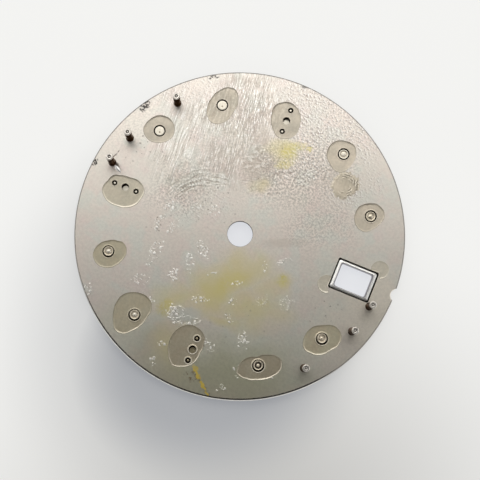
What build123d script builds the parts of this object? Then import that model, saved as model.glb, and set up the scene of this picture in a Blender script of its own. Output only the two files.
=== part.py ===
from build123d import *
import os
from math import cos, radians, sin

os.makedirs("parts", exist_ok=True)

# A watch dial, built from its plate, its applied hour markers, a date frame, three pairs of dial
# feet and the clear lacquer that holds the markers. Millimetres. The origin is the centre of the
# plate's back face, +Z leaves the back, +Y points to 12 o'clock. Seen from the back the hours run
# counter-clockwise, so 3 o'clock is at -X.

# Plate
dial_diameter = 28.5
plate_thickness = 0.4
centre_hole_radius = 1.1

# Index notch in the rim, by 3 o'clock
notch_radius = 0.6
notch_depth = 0.34
notch_lead_degrees = 0.7

# Hours
hours_round_dial = 12
round_marker_hours = (1, 2, 4, 5, 7, 8, 10, 11)
baton_marker_hours = (6, 9)
triangle_marker_hour = 12
date_hour = 3

# Markers, seated on the plate's front face
marker_height = 0.5
marker_wall = 0.14
marker_floor = 0.16
long_marker_bevel = 0.07
marker_rim_gap = 1.7
round_marker_radius = 1.15
baton_length = 3.7
baton_width = 1.4
triangle_length = 3.7
triangle_base = 3.3
triangle_nose_width = 0.5

# Luminous filling in each marker
filling_gap = 0.01
filling_recess = 0.03

# Single foot of a round marker
foot_hole_radius = 0.5
foot_clearance = 0.08
foot_recess = 0.02

# Two pins of a long marker, and the sight hole between them
pin_hole_radius = 0.22
pin_clearance = 0.08
pin_spacing = 2.0
pin_recess = 0.06
sight_hole_radius = 0.31

# Dial feet, welded to the back in opposite pairs
dial_foot_rim_gap = 1.55
dial_foot_radius = 0.34
dial_foot_length = 2.6
dial_foot_pair_turns = {"a": 137.6, "b": 161.0, "c": 172.8}

# Date window in the plate, and the frame in it
date_window_rim_gap = 1.9
date_cutout_length = 3.66
date_cutout_width = 2.72
date_cutout_corner = 0.25
frame_clearance = 0.06
frame_end_wall = 0.37
frame_side_wall = 0.28
frame_opening_corner = 0.16
frame_back_recess = 0.04
frame_back_bevel = 0.1
frame_flange_reach = 0.4
frame_flange_height = 0.36
frame_flange_bevel = 0.18

# Lacquer: a thin film with a sloping edge
lacquer_reach = 1.0
lacquer_height = 0.06
lacquer_edge_run = 0.1
lacquer_window_gap = 0.03
date_drop_reach = 0.78
smear_reach = 1.22

# How far a cut runs past the faces that it opens
overrun = 0.2

# Outline of the lacquer round each marker, brushed on by hand: pairs of a turn in degrees from
# the outward direction, counter-clockwise, and a share of lacquer_reach.
marker_lacquer_shares = {
    1: ((0, 1.2), (45, 1.52), (68, 1.9), (95, 2.05), (112, 1.75), (135, 1.2), (180, 0.8),
        (225, 1.15), (262, 1.7), (280, 1.92), (292, 1.78), (315, 1.45)),
    2: ((0, 1.25), (25, 1.45), (45, 1.62), (62, 1.72), (90, 1.6), (135, 1.2), (180, 1.28),
        (225, 1.52), (262, 1.75), (280, 1.62), (315, 1.38)),
    4: ((0, 1.22), (45, 1.2), (90, 1.15), (135, 1.3), (180, 1.45), (205, 1.52), (225, 1.52),
        (243, 1.46), (270, 1.15), (315, 1.05)),
    5: ((0, 1.2), (45, 1.18), (90, 1.36), (135, 1.48), (180, 1.5), (205, 1.65), (225, 1.6),
        (270, 1.15), (315, 1.08)),
    6: ((0, 1.62), (28, 1.7), (63, 1.68), (90, 1.4), (135, 1.38), (180, 1.6), (225, 1.5),
        (270, 1.25), (315, 1.32)),
    7: ((0, 1.38), (45, 1.15), (90, 1.35), (120, 1.65), (140, 1.8), (162, 1.68), (180, 1.5),
        (225, 1.15), (270, 1.38), (292, 1.65), (315, 1.8), (338, 1.65)),
    8: ((0, 1.33), (45, 1.42), (90, 1.25), (135, 1.06), (180, 1.12), (225, 1.28), (270, 1.38),
        (315, 1.4)),
    9: ((0, 1.63), (13, 1.85), (28, 2.02), (45, 2.02), (68, 1.9), (90, 1.8), (112, 1.8),
        (135, 1.78), (165, 1.72), (192, 1.68), (225, 1.33), (270, 0.95), (315, 1.15),
        (335, 1.48)),
    10: ((0, 1.32), (45, 1.45), (90, 1.38), (135, 1.4), (180, 1.58), (203, 1.5), (225, 1.2),
         (270, 0.97), (315, 1.06)),
    11: ((0, 2.08), (19, 1.88), (45, 1.36), (90, 1.05), (135, 1.15), (158, 1.5), (180, 1.78),
         (203, 1.95), (225, 1.95), (248, 2.0), (270, 2.0), (292, 1.9), (315, 1.82), (341, 1.9)),
    12: ((0, 1.57), (45, 0.95), (90, 0.75), (135, 1.05), (158, 1.5), (180, 1.8), (203, 2.05),
         (225, 2.2), (248, 2.15), (270, 2.1), (295, 2.12), (315, 2.15), (330, 2.15),
         (345, 1.85)),
}
even_outline_shares = tuple((turn, 1.0) for turn in range(0, 360, 45))
smear_outline_shares = ((0, 1.0), (45, 1.08), (90, 0.88), (135, 0.92), (180, 0.85), (225, 1.02),
                        (270, 1.06), (315, 0.95))

# Places of the lacquer that holds the date frame, as shares of half the window's length and
# width from its centre, and of the loose smear, as shares of the dial's radius.
date_drop_place_shares = {"inner": (-1.1, -0.88), "outer": (0.98, 1.23)}
smear_place_shares = (-0.474, -0.521)

# Sizes that follow
dial_radius = dial_diameter / 2
round_marker_circle = dial_radius - marker_rim_gap - round_marker_radius
baton_circle = dial_radius - marker_rim_gap - baton_length / 2
triangle_circle = dial_radius - marker_rim_gap - triangle_length / 2
dial_foot_circle = dial_radius - dial_foot_rim_gap
date_circle = dial_radius - date_window_rim_gap - date_cutout_length / 2
front_z = -plate_thickness
marker_front_z = front_z - marker_height
foot_radius = foot_hole_radius - foot_clearance
pin_radius = pin_hole_radius - pin_clearance
degrees_per_hour = 360 / hours_round_dial
twelve_turn = 90


def hour_turn(hour):
    """The direction of an hour from the centre, in degrees counter-clockwise from +X."""
    return twelve_turn + degrees_per_hour * hour


def marker_circle(hour):
    """The radius at which that hour's marker is centred."""
    if hour == triangle_marker_hour:
        return triangle_circle
    return baton_circle if hour in baton_marker_hours else round_marker_circle


def place(radius, turn):
    """A point on the back face at that radius and direction."""
    return (radius * cos(radians(turn)), radius * sin(radians(turn)))


def flat_plane(radius, turn, height):
    """A level plane at that place, with its X axis pointing outwards."""
    x, y = place(radius, turn)
    return Plane(origin=(x, y, height), x_dir=(cos(radians(turn)), sin(radians(turn)), 0))


def upright_plane(radius, turn):
    """An upright plane through the axis of a turned piece: X points outwards, Y up."""
    x, y = place(radius, turn)
    return Plane(
        origin=(x, y, 0),
        x_dir=(cos(radians(turn)), sin(radians(turn)), 0),
        z_dir=(sin(radians(turn)), -cos(radians(turn)), 0),
    )


def upright_axis(radius, turn):
    """The axis that a turned piece is revolved about."""
    x, y = place(radius, turn)
    return Axis((x, y, 0), (0, 0, 1))


def write(piece, node):
    piece.part.label = node
    export_step(piece.part, f"parts/{node}.step")


# Dial plate
plate_foot_places = [place(round_marker_circle, hour_turn(h)) for h in round_marker_hours]
long_marker_hours = baton_marker_hours + (triangle_marker_hour,)
plate_sight_places = [place(marker_circle(h), hour_turn(h)) for h in long_marker_hours]
plate_pin_places = [
    place(marker_circle(h) + side * pin_spacing / 2, hour_turn(h))
    for h in long_marker_hours
    for side in (-1, 1)
]
date_turn = hour_turn(date_hour)
notch_place = place(dial_radius + notch_radius - notch_depth, date_turn + notch_lead_degrees)

with BuildPart() as dial_plate:
    with BuildSketch(Plane.XY.offset(front_z)):
        Circle(dial_radius)
    extrude(amount=plate_thickness)
    with BuildSketch():
        Circle(centre_hole_radius)
        with Locations(plate_foot_places):
            Circle(foot_hole_radius)
        with Locations(plate_sight_places):
            Circle(sight_hole_radius)
        with Locations(plate_pin_places):
            Circle(pin_hole_radius)
        with Locations(notch_place):
            Circle(notch_radius)
    extrude(amount=-plate_thickness, mode=Mode.SUBTRACT)
    with BuildSketch(flat_plane(date_circle, date_turn, 0)):
        RectangleRounded(date_cutout_length, date_cutout_width, date_cutout_corner)
    extrude(amount=-plate_thickness, mode=Mode.SUBTRACT)
write(dial_plate, "dial_plate")


# Date frame: a sleeve in the window, and a bevelled flange on the front face
sleeve_length = date_cutout_length - 2 * frame_clearance
sleeve_width = date_cutout_width - 2 * frame_clearance
sleeve_corner = date_cutout_corner - frame_clearance
opening_length = sleeve_length - 2 * frame_end_wall
opening_width = sleeve_width - 2 * frame_side_wall
flange_length = date_cutout_length + 2 * frame_flange_reach
flange_width = date_cutout_width + 2 * frame_flange_reach
frame_back_z = -frame_back_recess
frame_front_z = front_z - frame_flange_height

with BuildPart() as date_frame:
    with BuildSketch(flat_plane(date_circle, date_turn, frame_back_z)):
        RectangleRounded(sleeve_length, sleeve_width, sleeve_corner)
    extrude(amount=front_z - frame_back_z)
    with BuildSketch(flat_plane(date_circle, date_turn, front_z)):
        Rectangle(flange_length, flange_width)
    extrude(amount=-frame_flange_height)
    chamfer(date_frame.faces().sort_by(Axis.Z)[0].edges(), frame_flange_bevel)
    with BuildSketch(flat_plane(date_circle, date_turn, frame_back_z)):
        RectangleRounded(opening_length, opening_width, frame_opening_corner)
    extrude(amount=frame_front_z - frame_back_z, mode=Mode.SUBTRACT)
    chamfer(date_frame.faces().sort_by(Axis.Z)[-1].inner_wires().edges(), frame_back_bevel)
write(date_frame, "date_frame")


# Dial feet: posts of round wire, cut off square
for pair, pair_turn in dial_foot_pair_turns.items():
    for side, foot_turn in (("date_side", pair_turn), ("far_side", pair_turn + 180)):
        with BuildPart() as dial_foot:
            with BuildSketch():
                with Locations(place(dial_foot_circle, foot_turn)):
                    Circle(dial_foot_radius)
            extrude(amount=dial_foot_length)
        write(dial_foot, f"dial_foot_{pair}_{side}")


# Round markers: a turned cup on the front face, and its foot in the plate
for hour in round_marker_hours:
    turn = hour_turn(hour)
    with BuildPart() as round_marker:
        with BuildSketch(upright_plane(round_marker_circle, turn)):
            with BuildLine():
                Polyline(
                    (0, front_z - marker_floor),
                    (round_marker_radius - marker_wall, front_z - marker_floor),
                    (round_marker_radius - marker_wall, marker_front_z),
                    (round_marker_radius, marker_front_z),
                    (round_marker_radius, front_z),
                    (foot_radius, front_z),
                    (foot_radius, -foot_recess),
                    (0, -foot_recess),
                    close=True,
                )
            make_face()
        revolve(axis=upright_axis(round_marker_circle, turn))
    write(round_marker, f"hour_marker_{hour:02d}")

    filling_radius = round_marker_radius - marker_wall - filling_gap
    with BuildPart() as round_filling:
        with BuildSketch(flat_plane(round_marker_circle, turn, front_z - marker_floor)):
            Circle(filling_radius)
        extrude(amount=-(marker_height - marker_floor - filling_recess))
    write(round_filling, f"lume_filling_{hour:02d}")


def long_marker_outline(hour, inset):
    """A long marker's outline, drawn in by inset: a baton, or the triangle at 12 o'clock."""
    half_length = triangle_length / 2
    with BuildSketch() as outline:
        if hour == triangle_marker_hour:
            with BuildLine():
                Polyline(
                    (half_length, -triangle_base / 2),
                    (half_length, triangle_base / 2),
                    (-half_length, triangle_nose_width / 2),
                    (-half_length, -triangle_nose_width / 2),
                    close=True,
                )
            make_face()
            if inset:
                offset(amount=-inset, kind=Kind.INTERSECTION, mode=Mode.REPLACE)
        else:
            Rectangle(baton_length - 2 * inset, baton_width - 2 * inset)
    return outline.sketch


# Long markers: a pressed cup with a pin at each end
for hour in long_marker_hours:
    turn = hour_turn(hour)
    circle = marker_circle(hour)
    with BuildPart() as long_marker:
        with BuildSketch(flat_plane(circle, turn, front_z)):
            add(long_marker_outline(hour, 0))
        extrude(amount=-marker_height)
        chamfer(long_marker.faces().sort_by(Axis.Z)[0].edges(), long_marker_bevel)
        with BuildSketch(flat_plane(circle, turn, marker_front_z)):
            add(long_marker_outline(hour, marker_wall))
        extrude(amount=marker_height - marker_floor, mode=Mode.SUBTRACT)
        with BuildSketch(flat_plane(circle, turn, front_z)):
            with GridLocations(pin_spacing, 0, 2, 1):
                Circle(pin_radius)
        extrude(amount=plate_thickness - pin_recess)
    write(long_marker, f"hour_marker_{hour:02d}")

    with BuildPart() as long_filling:
        with BuildSketch(flat_plane(circle, turn, front_z - marker_floor)):
            add(long_marker_outline(hour, marker_wall + filling_gap))
        extrude(amount=-(marker_height - marker_floor - filling_recess))
    write(long_filling, f"lume_filling_{hour:02d}")


def lacquer_outline(centre, turn, outline_shares, reach, inset, height):
    """A closed smooth outline round centre, drawn in by inset, at that height."""
    points = [
        (
            centre[0] + (reach * share - inset) * cos(radians(turn + lead)),
            centre[1] + (reach * share - inset) * sin(radians(turn + lead)),
        )
        for lead, share in outline_shares
    ]
    with BuildSketch(Plane.XY.offset(height)) as outline:
        with BuildLine():
            Spline(points, periodic=True)
        make_face()
    return outline.sketch.face()


def dried_drop(centre, turn, outline_shares, reach):
    """A dried drop of lacquer: a film whose edge slopes in."""
    base = lacquer_outline(centre, turn, outline_shares, reach, 0, 0)
    top = lacquer_outline(centre, turn, outline_shares, reach, lacquer_edge_run, lacquer_height)
    with BuildPart() as drop:
        loft([base, top], ruled=True)
    return drop.part


# Lacquer over the marker feet
for hour, outline_shares in marker_lacquer_shares.items():
    turn = hour_turn(hour)
    marker_place = place(marker_circle(hour), turn)
    with BuildPart() as marker_lacquer:
        add(dried_drop(marker_place, turn, outline_shares, lacquer_reach))
    write(marker_lacquer, f"lacquer_{hour:02d}")


# Lacquer at two corners of the date window, cut off by the window
for side, (along_share, across_share) in date_drop_place_shares.items():
    window_plane = flat_plane(date_circle, date_turn, 0)
    drop_centre = window_plane.from_local_coords(
        Vector(along_share * date_cutout_length / 2, across_share * date_cutout_width / 2, 0)
    )
    with BuildPart() as date_lacquer:
        add(
            dried_drop(
                (drop_centre.X, drop_centre.Y), date_turn, even_outline_shares, date_drop_reach
            )
        )
        with BuildSketch(window_plane):
            RectangleRounded(
                date_cutout_length + 2 * lacquer_window_gap,
                date_cutout_width + 2 * lacquer_window_gap,
                date_cutout_corner + lacquer_window_gap,
            )
        extrude(amount=overrun, mode=Mode.SUBTRACT)
    write(date_lacquer, f"lacquer_date_{side}")


# A smear of lacquer with no foot in it
smear_centre = (smear_place_shares[0] * dial_radius, smear_place_shares[1] * dial_radius)
with BuildPart() as lacquer_smear:
    add(dried_drop(smear_centre, date_turn, smear_outline_shares, smear_reach))
write(lacquer_smear, "lacquer_smear")
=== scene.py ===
"""The looks of a watch dial that lies face down: its brushed and stained back, the lacquer that
holds the marker feet, the feet themselves, and the frame of the date window."""

import bpy
import numpy as np
from mathutils import Matrix, Vector
from mathutils.geometry import delaunay_2d_cdt


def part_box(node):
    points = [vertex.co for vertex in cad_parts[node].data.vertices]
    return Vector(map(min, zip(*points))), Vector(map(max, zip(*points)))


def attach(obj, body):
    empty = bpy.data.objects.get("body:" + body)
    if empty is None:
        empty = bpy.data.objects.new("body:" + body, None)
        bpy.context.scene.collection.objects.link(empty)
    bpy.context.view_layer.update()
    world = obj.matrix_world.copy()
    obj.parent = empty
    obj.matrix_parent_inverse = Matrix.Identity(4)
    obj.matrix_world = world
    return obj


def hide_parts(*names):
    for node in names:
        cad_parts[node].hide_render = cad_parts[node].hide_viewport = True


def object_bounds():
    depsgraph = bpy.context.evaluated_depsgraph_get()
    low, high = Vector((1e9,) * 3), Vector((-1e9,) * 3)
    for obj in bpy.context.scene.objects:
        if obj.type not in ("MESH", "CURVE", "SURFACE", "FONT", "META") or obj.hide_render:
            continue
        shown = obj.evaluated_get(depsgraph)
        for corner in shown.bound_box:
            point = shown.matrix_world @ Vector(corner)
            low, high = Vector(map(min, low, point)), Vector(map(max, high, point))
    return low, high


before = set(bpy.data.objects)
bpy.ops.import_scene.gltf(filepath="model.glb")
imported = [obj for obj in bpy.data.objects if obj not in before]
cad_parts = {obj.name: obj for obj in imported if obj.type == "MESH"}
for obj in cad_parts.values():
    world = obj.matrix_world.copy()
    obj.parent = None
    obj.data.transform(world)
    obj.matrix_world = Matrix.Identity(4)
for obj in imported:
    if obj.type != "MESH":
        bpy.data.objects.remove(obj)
cad_lowest, cad_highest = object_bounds()

# Every length below is in millimetres, and every angle in degrees, until a mesh or a light is
# made. The hours run counter-clockwise as the back is seen.
METRES = 0.001
BODY = "root"
# How near two points merge, in metres
MERGE_REACH = 1e-8
# Points round a turned shape, and on a round corner
TURNED_POINTS = 72
CORNER_POINTS = 9
# A slope too small to divide by, and a distance past everything
TINY = 1e-9
PAST_ALL = 1000.0

# Plate, from the frame where its box says it
plate_lowest, plate_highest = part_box("dial_plate")
DIAL_RADIUS = plate_highest.x / METRES
FRONT_Z = plate_lowest.z / METRES
RIM_BREAK = 0.08
FRONT_RIM_BREAK = 0.032
HOLE_BREAK = 0.02
# How far a broken edge's middle lies from each face, as a share of the break
BREAK_MIDDLE = 0.3
CENTRE_HOLE_RADIUS = 1.1
CENTRE_HOLE_POINTS = 96
RIM_POINTS = 480

# The notch, and how near its middle's direction a ray can meet it
NOTCH_RADIUS = 0.6
NOTCH_DEPTH = 0.34
NOTCH_TURN = 180.7
NOTCH_NEAR = 10

# Markers
MARKER_FRONT_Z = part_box("hour_marker_01")[0].z / METRES
MARKER_FLOOR = 0.16
MARKER_WALL = 0.14
MARKER_BREAK = 0.05
ROUND_HOURS = (1, 2, 4, 5, 7, 8, 10, 11)
BATON_HOURS = (6, 9)
TRIANGLE_HOUR = 12
LONG_HOURS = BATON_HOURS + (TRIANGLE_HOUR,)
ROUND_RADIUS = 1.15
CUP_LIP = 0.02
ROUND_CIRCLE = 11.4
LONG_CIRCLE = 10.7
BATON_LENGTH = 3.7
BATON_WIDTH = 1.4
TRIANGLE_LENGTH = 3.7
TRIANGLE_BASE = 3.3
TRIANGLE_NOSE = 0.5
LONG_BEVEL = 0.07
LONG_CORNER = 0.03
LONG_CORNER_POINTS = 4

# A round marker's foot. Those in the photograph's lower part stand off the middle of their holes
FOOT_HOLE_RADIUS = 0.5
FOOT_HOLE_POINTS = 64
FOOT_RADIUS = 0.42
FOOT_END_Z = -0.02
LOW_HOURS = (1, 2, 10, 11)
FOOT_PLAY = 0.048

# A foot's end: a lip, a groove and a dome, or a pit. The lip's rows say how far in from the foot's
# side and how far below its end they lie
FOOT_LIP = 0.31
FOOT_LIP_SECTION = ((0.0, 0.03), (0.005, 0.012), (0.018, 0.003), (0.035, 0.0),
                    (FOOT_RADIUS - FOOT_LIP, 0.0))
# The groove's sides: how wide a step of them is, and which share of its depth is reached after the
# first step and at the dome's foot
GROOVE_STEP = 0.02
GROOVE_SHOULDER = 0.7
DOME_FOOT = 0.8
DOME_TIP_RADIUS = 0.02
DOME_RINGS = 9
# A pit beside the middle, and the shares of its radius and depth at which its floor starts
FOOT_PIT = 0.075
FOOT_PIT_SHIFT = 0.1
PIT_FLOOR = (0.75, 0.8)
# Each foot's groove depth, pit depth and dome radius
FOOT_MARKS = {
    1: (0.1, 0.0, 0.16), 2: (0.08, 0.0, 0.18), 4: (0.06, 0.0, 0.2), 5: (0.016, 0.0, 0.21),
    7: (0.0, 0.045, 0.22), 8: (0.0, 0.045, 0.22), 10: (0.08, 0.0, 0.2), 11: (0.09, 0.0, 0.19),
}

# Pins: the rows give a pin's radius at so far below its end
PIN_HOLE_RADIUS = 0.22
PIN_RADIUS = 0.14
PIN_END_Z = -0.06
PIN_SECTION = ((PIN_RADIUS, 0.05), (0.115, 0.018), (0.09, 0.008), (0.07, 0.003), (0.03, 0.0))
PIN_SPACING = 2.0
PIN_POINTS = 40
SIGHT_HOLE_RADIUS = 0.31
# The painted lit spot on a long marker's back, seen through its sight hole, and how far it is
# shifted towards the photograph's lower side
LIT_SPOT_RADIUS = 0.3
LIT_SPOT_SHIFT = 0.1

# Dial feet
DIAL_FOOT_CIRCLE = 12.7
DIAL_FOOT_RADIUS = 0.315
DIAL_FOOT_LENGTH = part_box("dial_foot_a_date_side")[1].z / METRES
DIAL_FOOT_TURNS = {"a": 137.6, "b": 161.0, "c": 172.8}
POST_POINTS = 48

# A sliver of metal beside one post
SLIVER_POST = ("c", "far_side")
SLIVER_TURN = 152
SLIVER_START = 0.3
SLIVER_LENGTH = 0.85
SLIVER_HALF_WIDTH = 0.15
SLIVER_HEIGHT = 0.05
SLIVER_EDGE_Z = 0.002
SLIVER_FULLNESS = 0.8

# Date window and its frame
DATE_CENTRE = (-10.52, 0.0)
CUTOUT_HALF = (1.83, 1.36)
CUTOUT_CORNER = 0.13
SLEEVE_HALF = (1.755, 1.285)
OPENING_HALF = (1.40, 1.02)
FLANGE_HALF = (2.23, 1.76)
FRAME_BACK_Z = -0.04
FRAME_FRONT_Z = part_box("date_frame")[0].z / METRES

# Lacquer: pairs of a turn from the outward direction and a share of the drop's reach
DROP_REACH = 1.0
DROP_SHARES = {
    1: ((0, 1.2), (45, 1.52), (68, 1.9), (95, 2.05), (112, 1.75), (135, 1.2), (180, 0.8),
        (225, 1.15), (262, 1.7), (280, 1.92), (292, 1.78), (315, 1.45)),
    2: ((0, 1.25), (25, 1.45), (45, 1.62), (62, 1.72), (90, 1.6), (135, 1.2), (180, 1.28),
        (225, 1.52), (262, 1.75), (280, 1.62), (315, 1.38)),
    4: ((0, 1.22), (45, 1.2), (90, 1.15), (135, 1.3), (180, 1.45), (205, 1.52), (225, 1.52),
        (243, 1.46), (270, 1.15), (315, 1.05)),
    5: ((0, 1.2), (45, 1.18), (90, 1.36), (135, 1.48), (180, 1.5), (205, 1.65), (225, 1.6),
        (270, 1.15), (315, 1.08)),
    6: ((0, 1.62), (28, 1.7), (63, 1.68), (90, 1.4), (135, 1.38), (180, 1.6), (225, 1.5),
        (270, 1.25), (315, 1.32)),
    7: ((0, 1.38), (45, 1.15), (90, 1.35), (120, 1.65), (140, 1.8), (162, 1.68), (180, 1.5),
        (225, 1.15), (270, 1.38), (292, 1.65), (315, 1.8), (338, 1.65)),
    8: ((0, 1.33), (45, 1.42), (90, 1.25), (135, 1.06), (180, 1.12), (225, 1.28), (270, 1.38),
        (315, 1.4)),
    9: ((0, 1.63), (13, 1.85), (28, 2.02), (45, 2.02), (68, 1.9), (90, 1.8), (112, 1.8),
        (135, 1.78), (165, 1.72), (192, 1.68), (225, 1.33), (270, 0.95), (315, 1.15),
        (335, 1.48)),
    10: ((0, 1.32), (45, 1.45), (90, 1.38), (135, 1.4), (180, 1.58), (203, 1.5), (225, 1.2),
         (270, 0.97), (315, 1.06)),
    11: ((0, 2.08), (19, 1.88), (45, 1.36), (90, 1.05), (135, 1.15), (158, 1.5), (180, 1.78),
         (203, 1.95), (225, 1.95), (248, 2.0), (270, 2.0), (292, 1.9), (315, 1.82), (341, 1.9)),
    12: ((0, 1.57), (45, 0.95), (90, 0.75), (135, 1.05), (158, 1.5), (180, 1.8), (203, 2.05),
         (225, 2.2), (248, 2.15), (270, 2.1), (295, 2.12), (315, 2.15), (330, 2.15),
         (345, 1.85)),
}
EVEN_SHARES = tuple((turn, 1.0) for turn in range(0, 360, 45))
SMEAR_SHARES = ((0, 1.0), (45, 1.08), (90, 0.88), (135, 0.92), (180, 0.85), (225, 1.02),
                (270, 1.06), (315, 0.95))
DATE_TURN = 180
DATE_DROP_REACH = 0.78
DATE_DROP_CUT_BACK = 0.04
DATE_DROP_PLACES = {"inner": (-8.5, 1.19), "outer": (-12.31, -1.67)}

# The smear, and the share of its reach in which it rises from its edge to its full height
SMEAR_REACH = 1.22
SMEAR_PLACE = (-6.75, -7.42)
SMEAR_TURN = 180
SMEAR_RINGS = 60
SMEAR_EDGE_Z = 0.001
SMEAR_HEIGHT = 0.012
SMEAR_SLOPE = 0.2
# Its wrinkles: the direction they lie in, how many radians of waves run from the middle to the
# edge, how high they are, and the share of the reach round the middle that has none
WRINKLE_TURN = 35
WRINKLE_WAVES = 32
WRINKLE_HEIGHT = 0.03
WRINKLE_CALM = 0.3
# How much of the ring is full of wrinkles, how strong the painted highlight on a crest is against
# the painted shade in its hollow, and how pale the smear's edge is on the side that has none
WRINKLE_COVER = 0.7
CREST_GLEAM = 0.7
CALM_GLEAM = 0.3

# Sines round a drop: size, how many waves run round, and how often its seed shifts them
OUTLINE_WAVER = ((0.006, 5, 1), (0.004, 9, 2), (0.003, 16, -1))
LIP_WAVER = ((0.22, 3, 1), (0.15, 7, -1))
SMEAR_WAVER = ((0.05, 4, 1), (0.045, 9, 0), (0.045, 17, 1), (0.04, 29, 2))
WRINKLE_SWING = ((1.8, 2, 1), (1.1, 5, 0))
DROP_LEAST_RADIUS = 0.1

# A drop's section from its edge inwards: how far in, and the shares there of the film's height
# and of the lip's
LIP_SECTION = ((0.0, 0.0, 0.0), (0.006, 1.0, 0.8), (0.022, 1.0, 1.0), (0.045, 1.0, 0.86),
               (0.075, 1.0, 0.52), (0.11, 1.0, 0.24), (0.15, 1.0, 0.07), (0.19, 1.0, 0.0))
FILM_HEIGHT = 0.026
LIP_HEIGHT = 0.016
# How strong each drop's lip and the painted shade on it are at its upper side, and its lip and
# the painted highlight on it at its lower side in the photograph, and how strong the ring round
# its holes and its painted highlight
LIP_STRENGTH = {
    1: (0.7, 1.7, 1.7), 2: (0.8, 1.5, 1.5), 4: (1.2, 0.35, 0.5), 5: (1.2, 0.2, 0.3),
    6: (1.3, 0.15, 0.2), 7: (1.2, 0.15, 0.2), 8: (1.2, 0.4, 0.2), 9: (1.2, 1.6, 0.3),
    10: (0.8, 0.6, 0.5), 11: (0.9, 1.1, 0.8), 12: (0.6, 1.3, 2.1),
}
DATE_LIP_STRENGTH = {"inner": (0.2, 1.4, 0), "outer": (0.3, 0.7, 0)}
# How strong the painted shade and the painted highlight on a drop's edge are at each ring of its
# section, how much of that changes round the drop, and how far from the photograph's upward
# direction the painted shade is strongest
EDGE_SHADE = (1.0, 1.0, 0.95, 0.6, 0.25, 0.06, 0.0, 0.0)
EDGE_GLEAM = (0.0, 0.0, 0.6, 1.0, 1.0, 0.4, 0.0, 0.0)
EDGE_CONTRAST = 0.62
EDGE_TURN = 15
# The raised lacquer round a hole, from outside inwards: how far out from the hole and how high its
# rings are, and how strong its painted shade, darkest where it runs down into the hole, and its
# painted highlight are there
MENISCUS_SECTION = ((0.15, 0.0), (0.11, 0.006), (0.075, 0.016), (0.045, 0.018), (0.02, 0.008),
                    (0.008, -0.006))
MENISCUS_SHADE = (0.0, 0.0, 0.0, 0.0, 0.5, 1.0)
MENISCUS_GLEAM = (0.0, 0.1, 0.5, 0.5, 0.0, 0.0)
# How strong its painted highlight is on average, and how much that changes round the hole
MENISCUS_FACING = (0.6, 0.4)
SKIRT_FOOT_Z = 0.001
DROP_POINTS = 160
RING_POINTS = 48

# The photograph's frame: x to its right, y up, z out of it towards the camera, in millimetres
VIEW_TILT = -6.45
VIEW_LEAN = 0.63
VIEW_ROLL = 157.775
CAMERA_DISTANCE = 96.82
CAMERA_SHIFT_Y = 0.525
CAMERA_LENS = 84.35
CAMERA_SENSOR = 36.0
CAMERA_CLIP = (0.005, 20.0)
PICTURE_SIZE = 480
PIXEL = CAMERA_DISTANCE * CAMERA_SENSOR / CAMERA_LENS / PICTURE_SIZE

# The stage. The floor's reach and the camera's clips are in metres
FLOOR_REACH = 2.0
FLOOR_PAINT = (0.2, 0.2, 0.2, 1)
FLOOR_COLOUR = (0.75, 0.75, 0.735, 1)
# Under the dial: its painted shade, its full middle, and how much of the painted shadow beside
# the dial it hides
UNDER_DIAL_SHADE = (0.66, 0.67, 0.7, 1)
UNDER_CORE = 0.8
UNDER_COVER = 0.92
# The wide painted shadow, and the painted shadow beside the dial, in the photograph's pixels
WIDE_SHADE_COLOUR = (0.42, 0.415, 0.4, 1)
WIDE_SHADE_MIDDLE = (262, 530)
WIDE_SHADE_REACH = (385, 340)
SHADE_COLOUR = (0.27, 0.28, 0.3, 1)
SHADES = ((180, 317, 215, 215, 0, 0.42), (202, 360, 172, 146, 0, 1.0))
SHADE_CORE = 0.4
# Between these distances the floor takes on the surround's tone
FAR_START = 60.0
FAR_END = 300.0
SURROUND_COLOUR = (0.88, 0.88, 0.87, 1)
# The ceiling, and how far up a direction points where it starts and where it is full
CEILING_COLOUR = (0.08, 0.08, 0.075, 1)
CEILING_SPAN = (0.4, 0.72)

# Lamp panels: name, place in the photograph's frame, size, radiance and colour
PANELS = (
    ("key_panel", (0, 90, 122), (170, 95), 1.9, (1.0, 0.985, 0.955)),
    ("left_panel", (-105, 35, 105), (60, 80), 0.98, (1, 1, 1)),
    ("right_panel", (105, -5, 105), (60, 80), 1.16, (1, 1, 1)),
)

# Tones of the plate's back and of its marks
SILVER = (0.788, 0.714, 0.652, 1)
COOL_SILVER = (0.772, 0.73, 0.664, 1)
PINK_SILVER = (0.788, 0.681, 0.639, 1)
GREEN_SILVER = (0.714, 0.739, 0.681, 1)
# The next two tones are painted shade for the photograph's lower side
SHADED_LOWER_SILVER = (0.705, 0.714, 0.589, 1)
LOWER_SHADE = (0.83, 0.81, 0.735, 1)
RIGHT_SILVER = (0.86, 0.8, 0.7, 1)
UPPER_SHADE = (0.85, 0.835, 0.82, 1)
BARE_SILVER = (0.647, 0.664, 0.631, 1)
PALE_LINE = (1.0, 0.98, 0.95, 1)
DARK_LINE = (0.4, 0.35, 0.31, 1)
GRIT_BROWN = (0.34, 0.28, 0.25, 1)
DULL_BROWN = (0.548, 0.481, 0.415, 1)
SCUFF_BROWN = (0.36, 0.3, 0.25, 1)
PALE_SCUFF = (1.0, 0.97, 0.92, 1)
YELLOW_STAIN = (0.689, 0.606, 0.282, 1)
YELLOW_SPOT = (0.689, 0.614, 0.199, 1)
YELLOW_PASTE = (1.0, 0.76, 0.16, 1)
STREAK_BROWN = (0.26, 0.17, 0.09, 1)
# Painted shadow beside each flake
FLAKE_SHADE = (0.36, 0.31, 0.26, 1)
FLAKE_WHITE = (1, 0.98, 0.94, 1)
DOT_BROWN = (0.26, 0.22, 0.19, 1)
GOUGE_BROWN = (0.2, 0.15, 0.12, 1)
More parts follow.
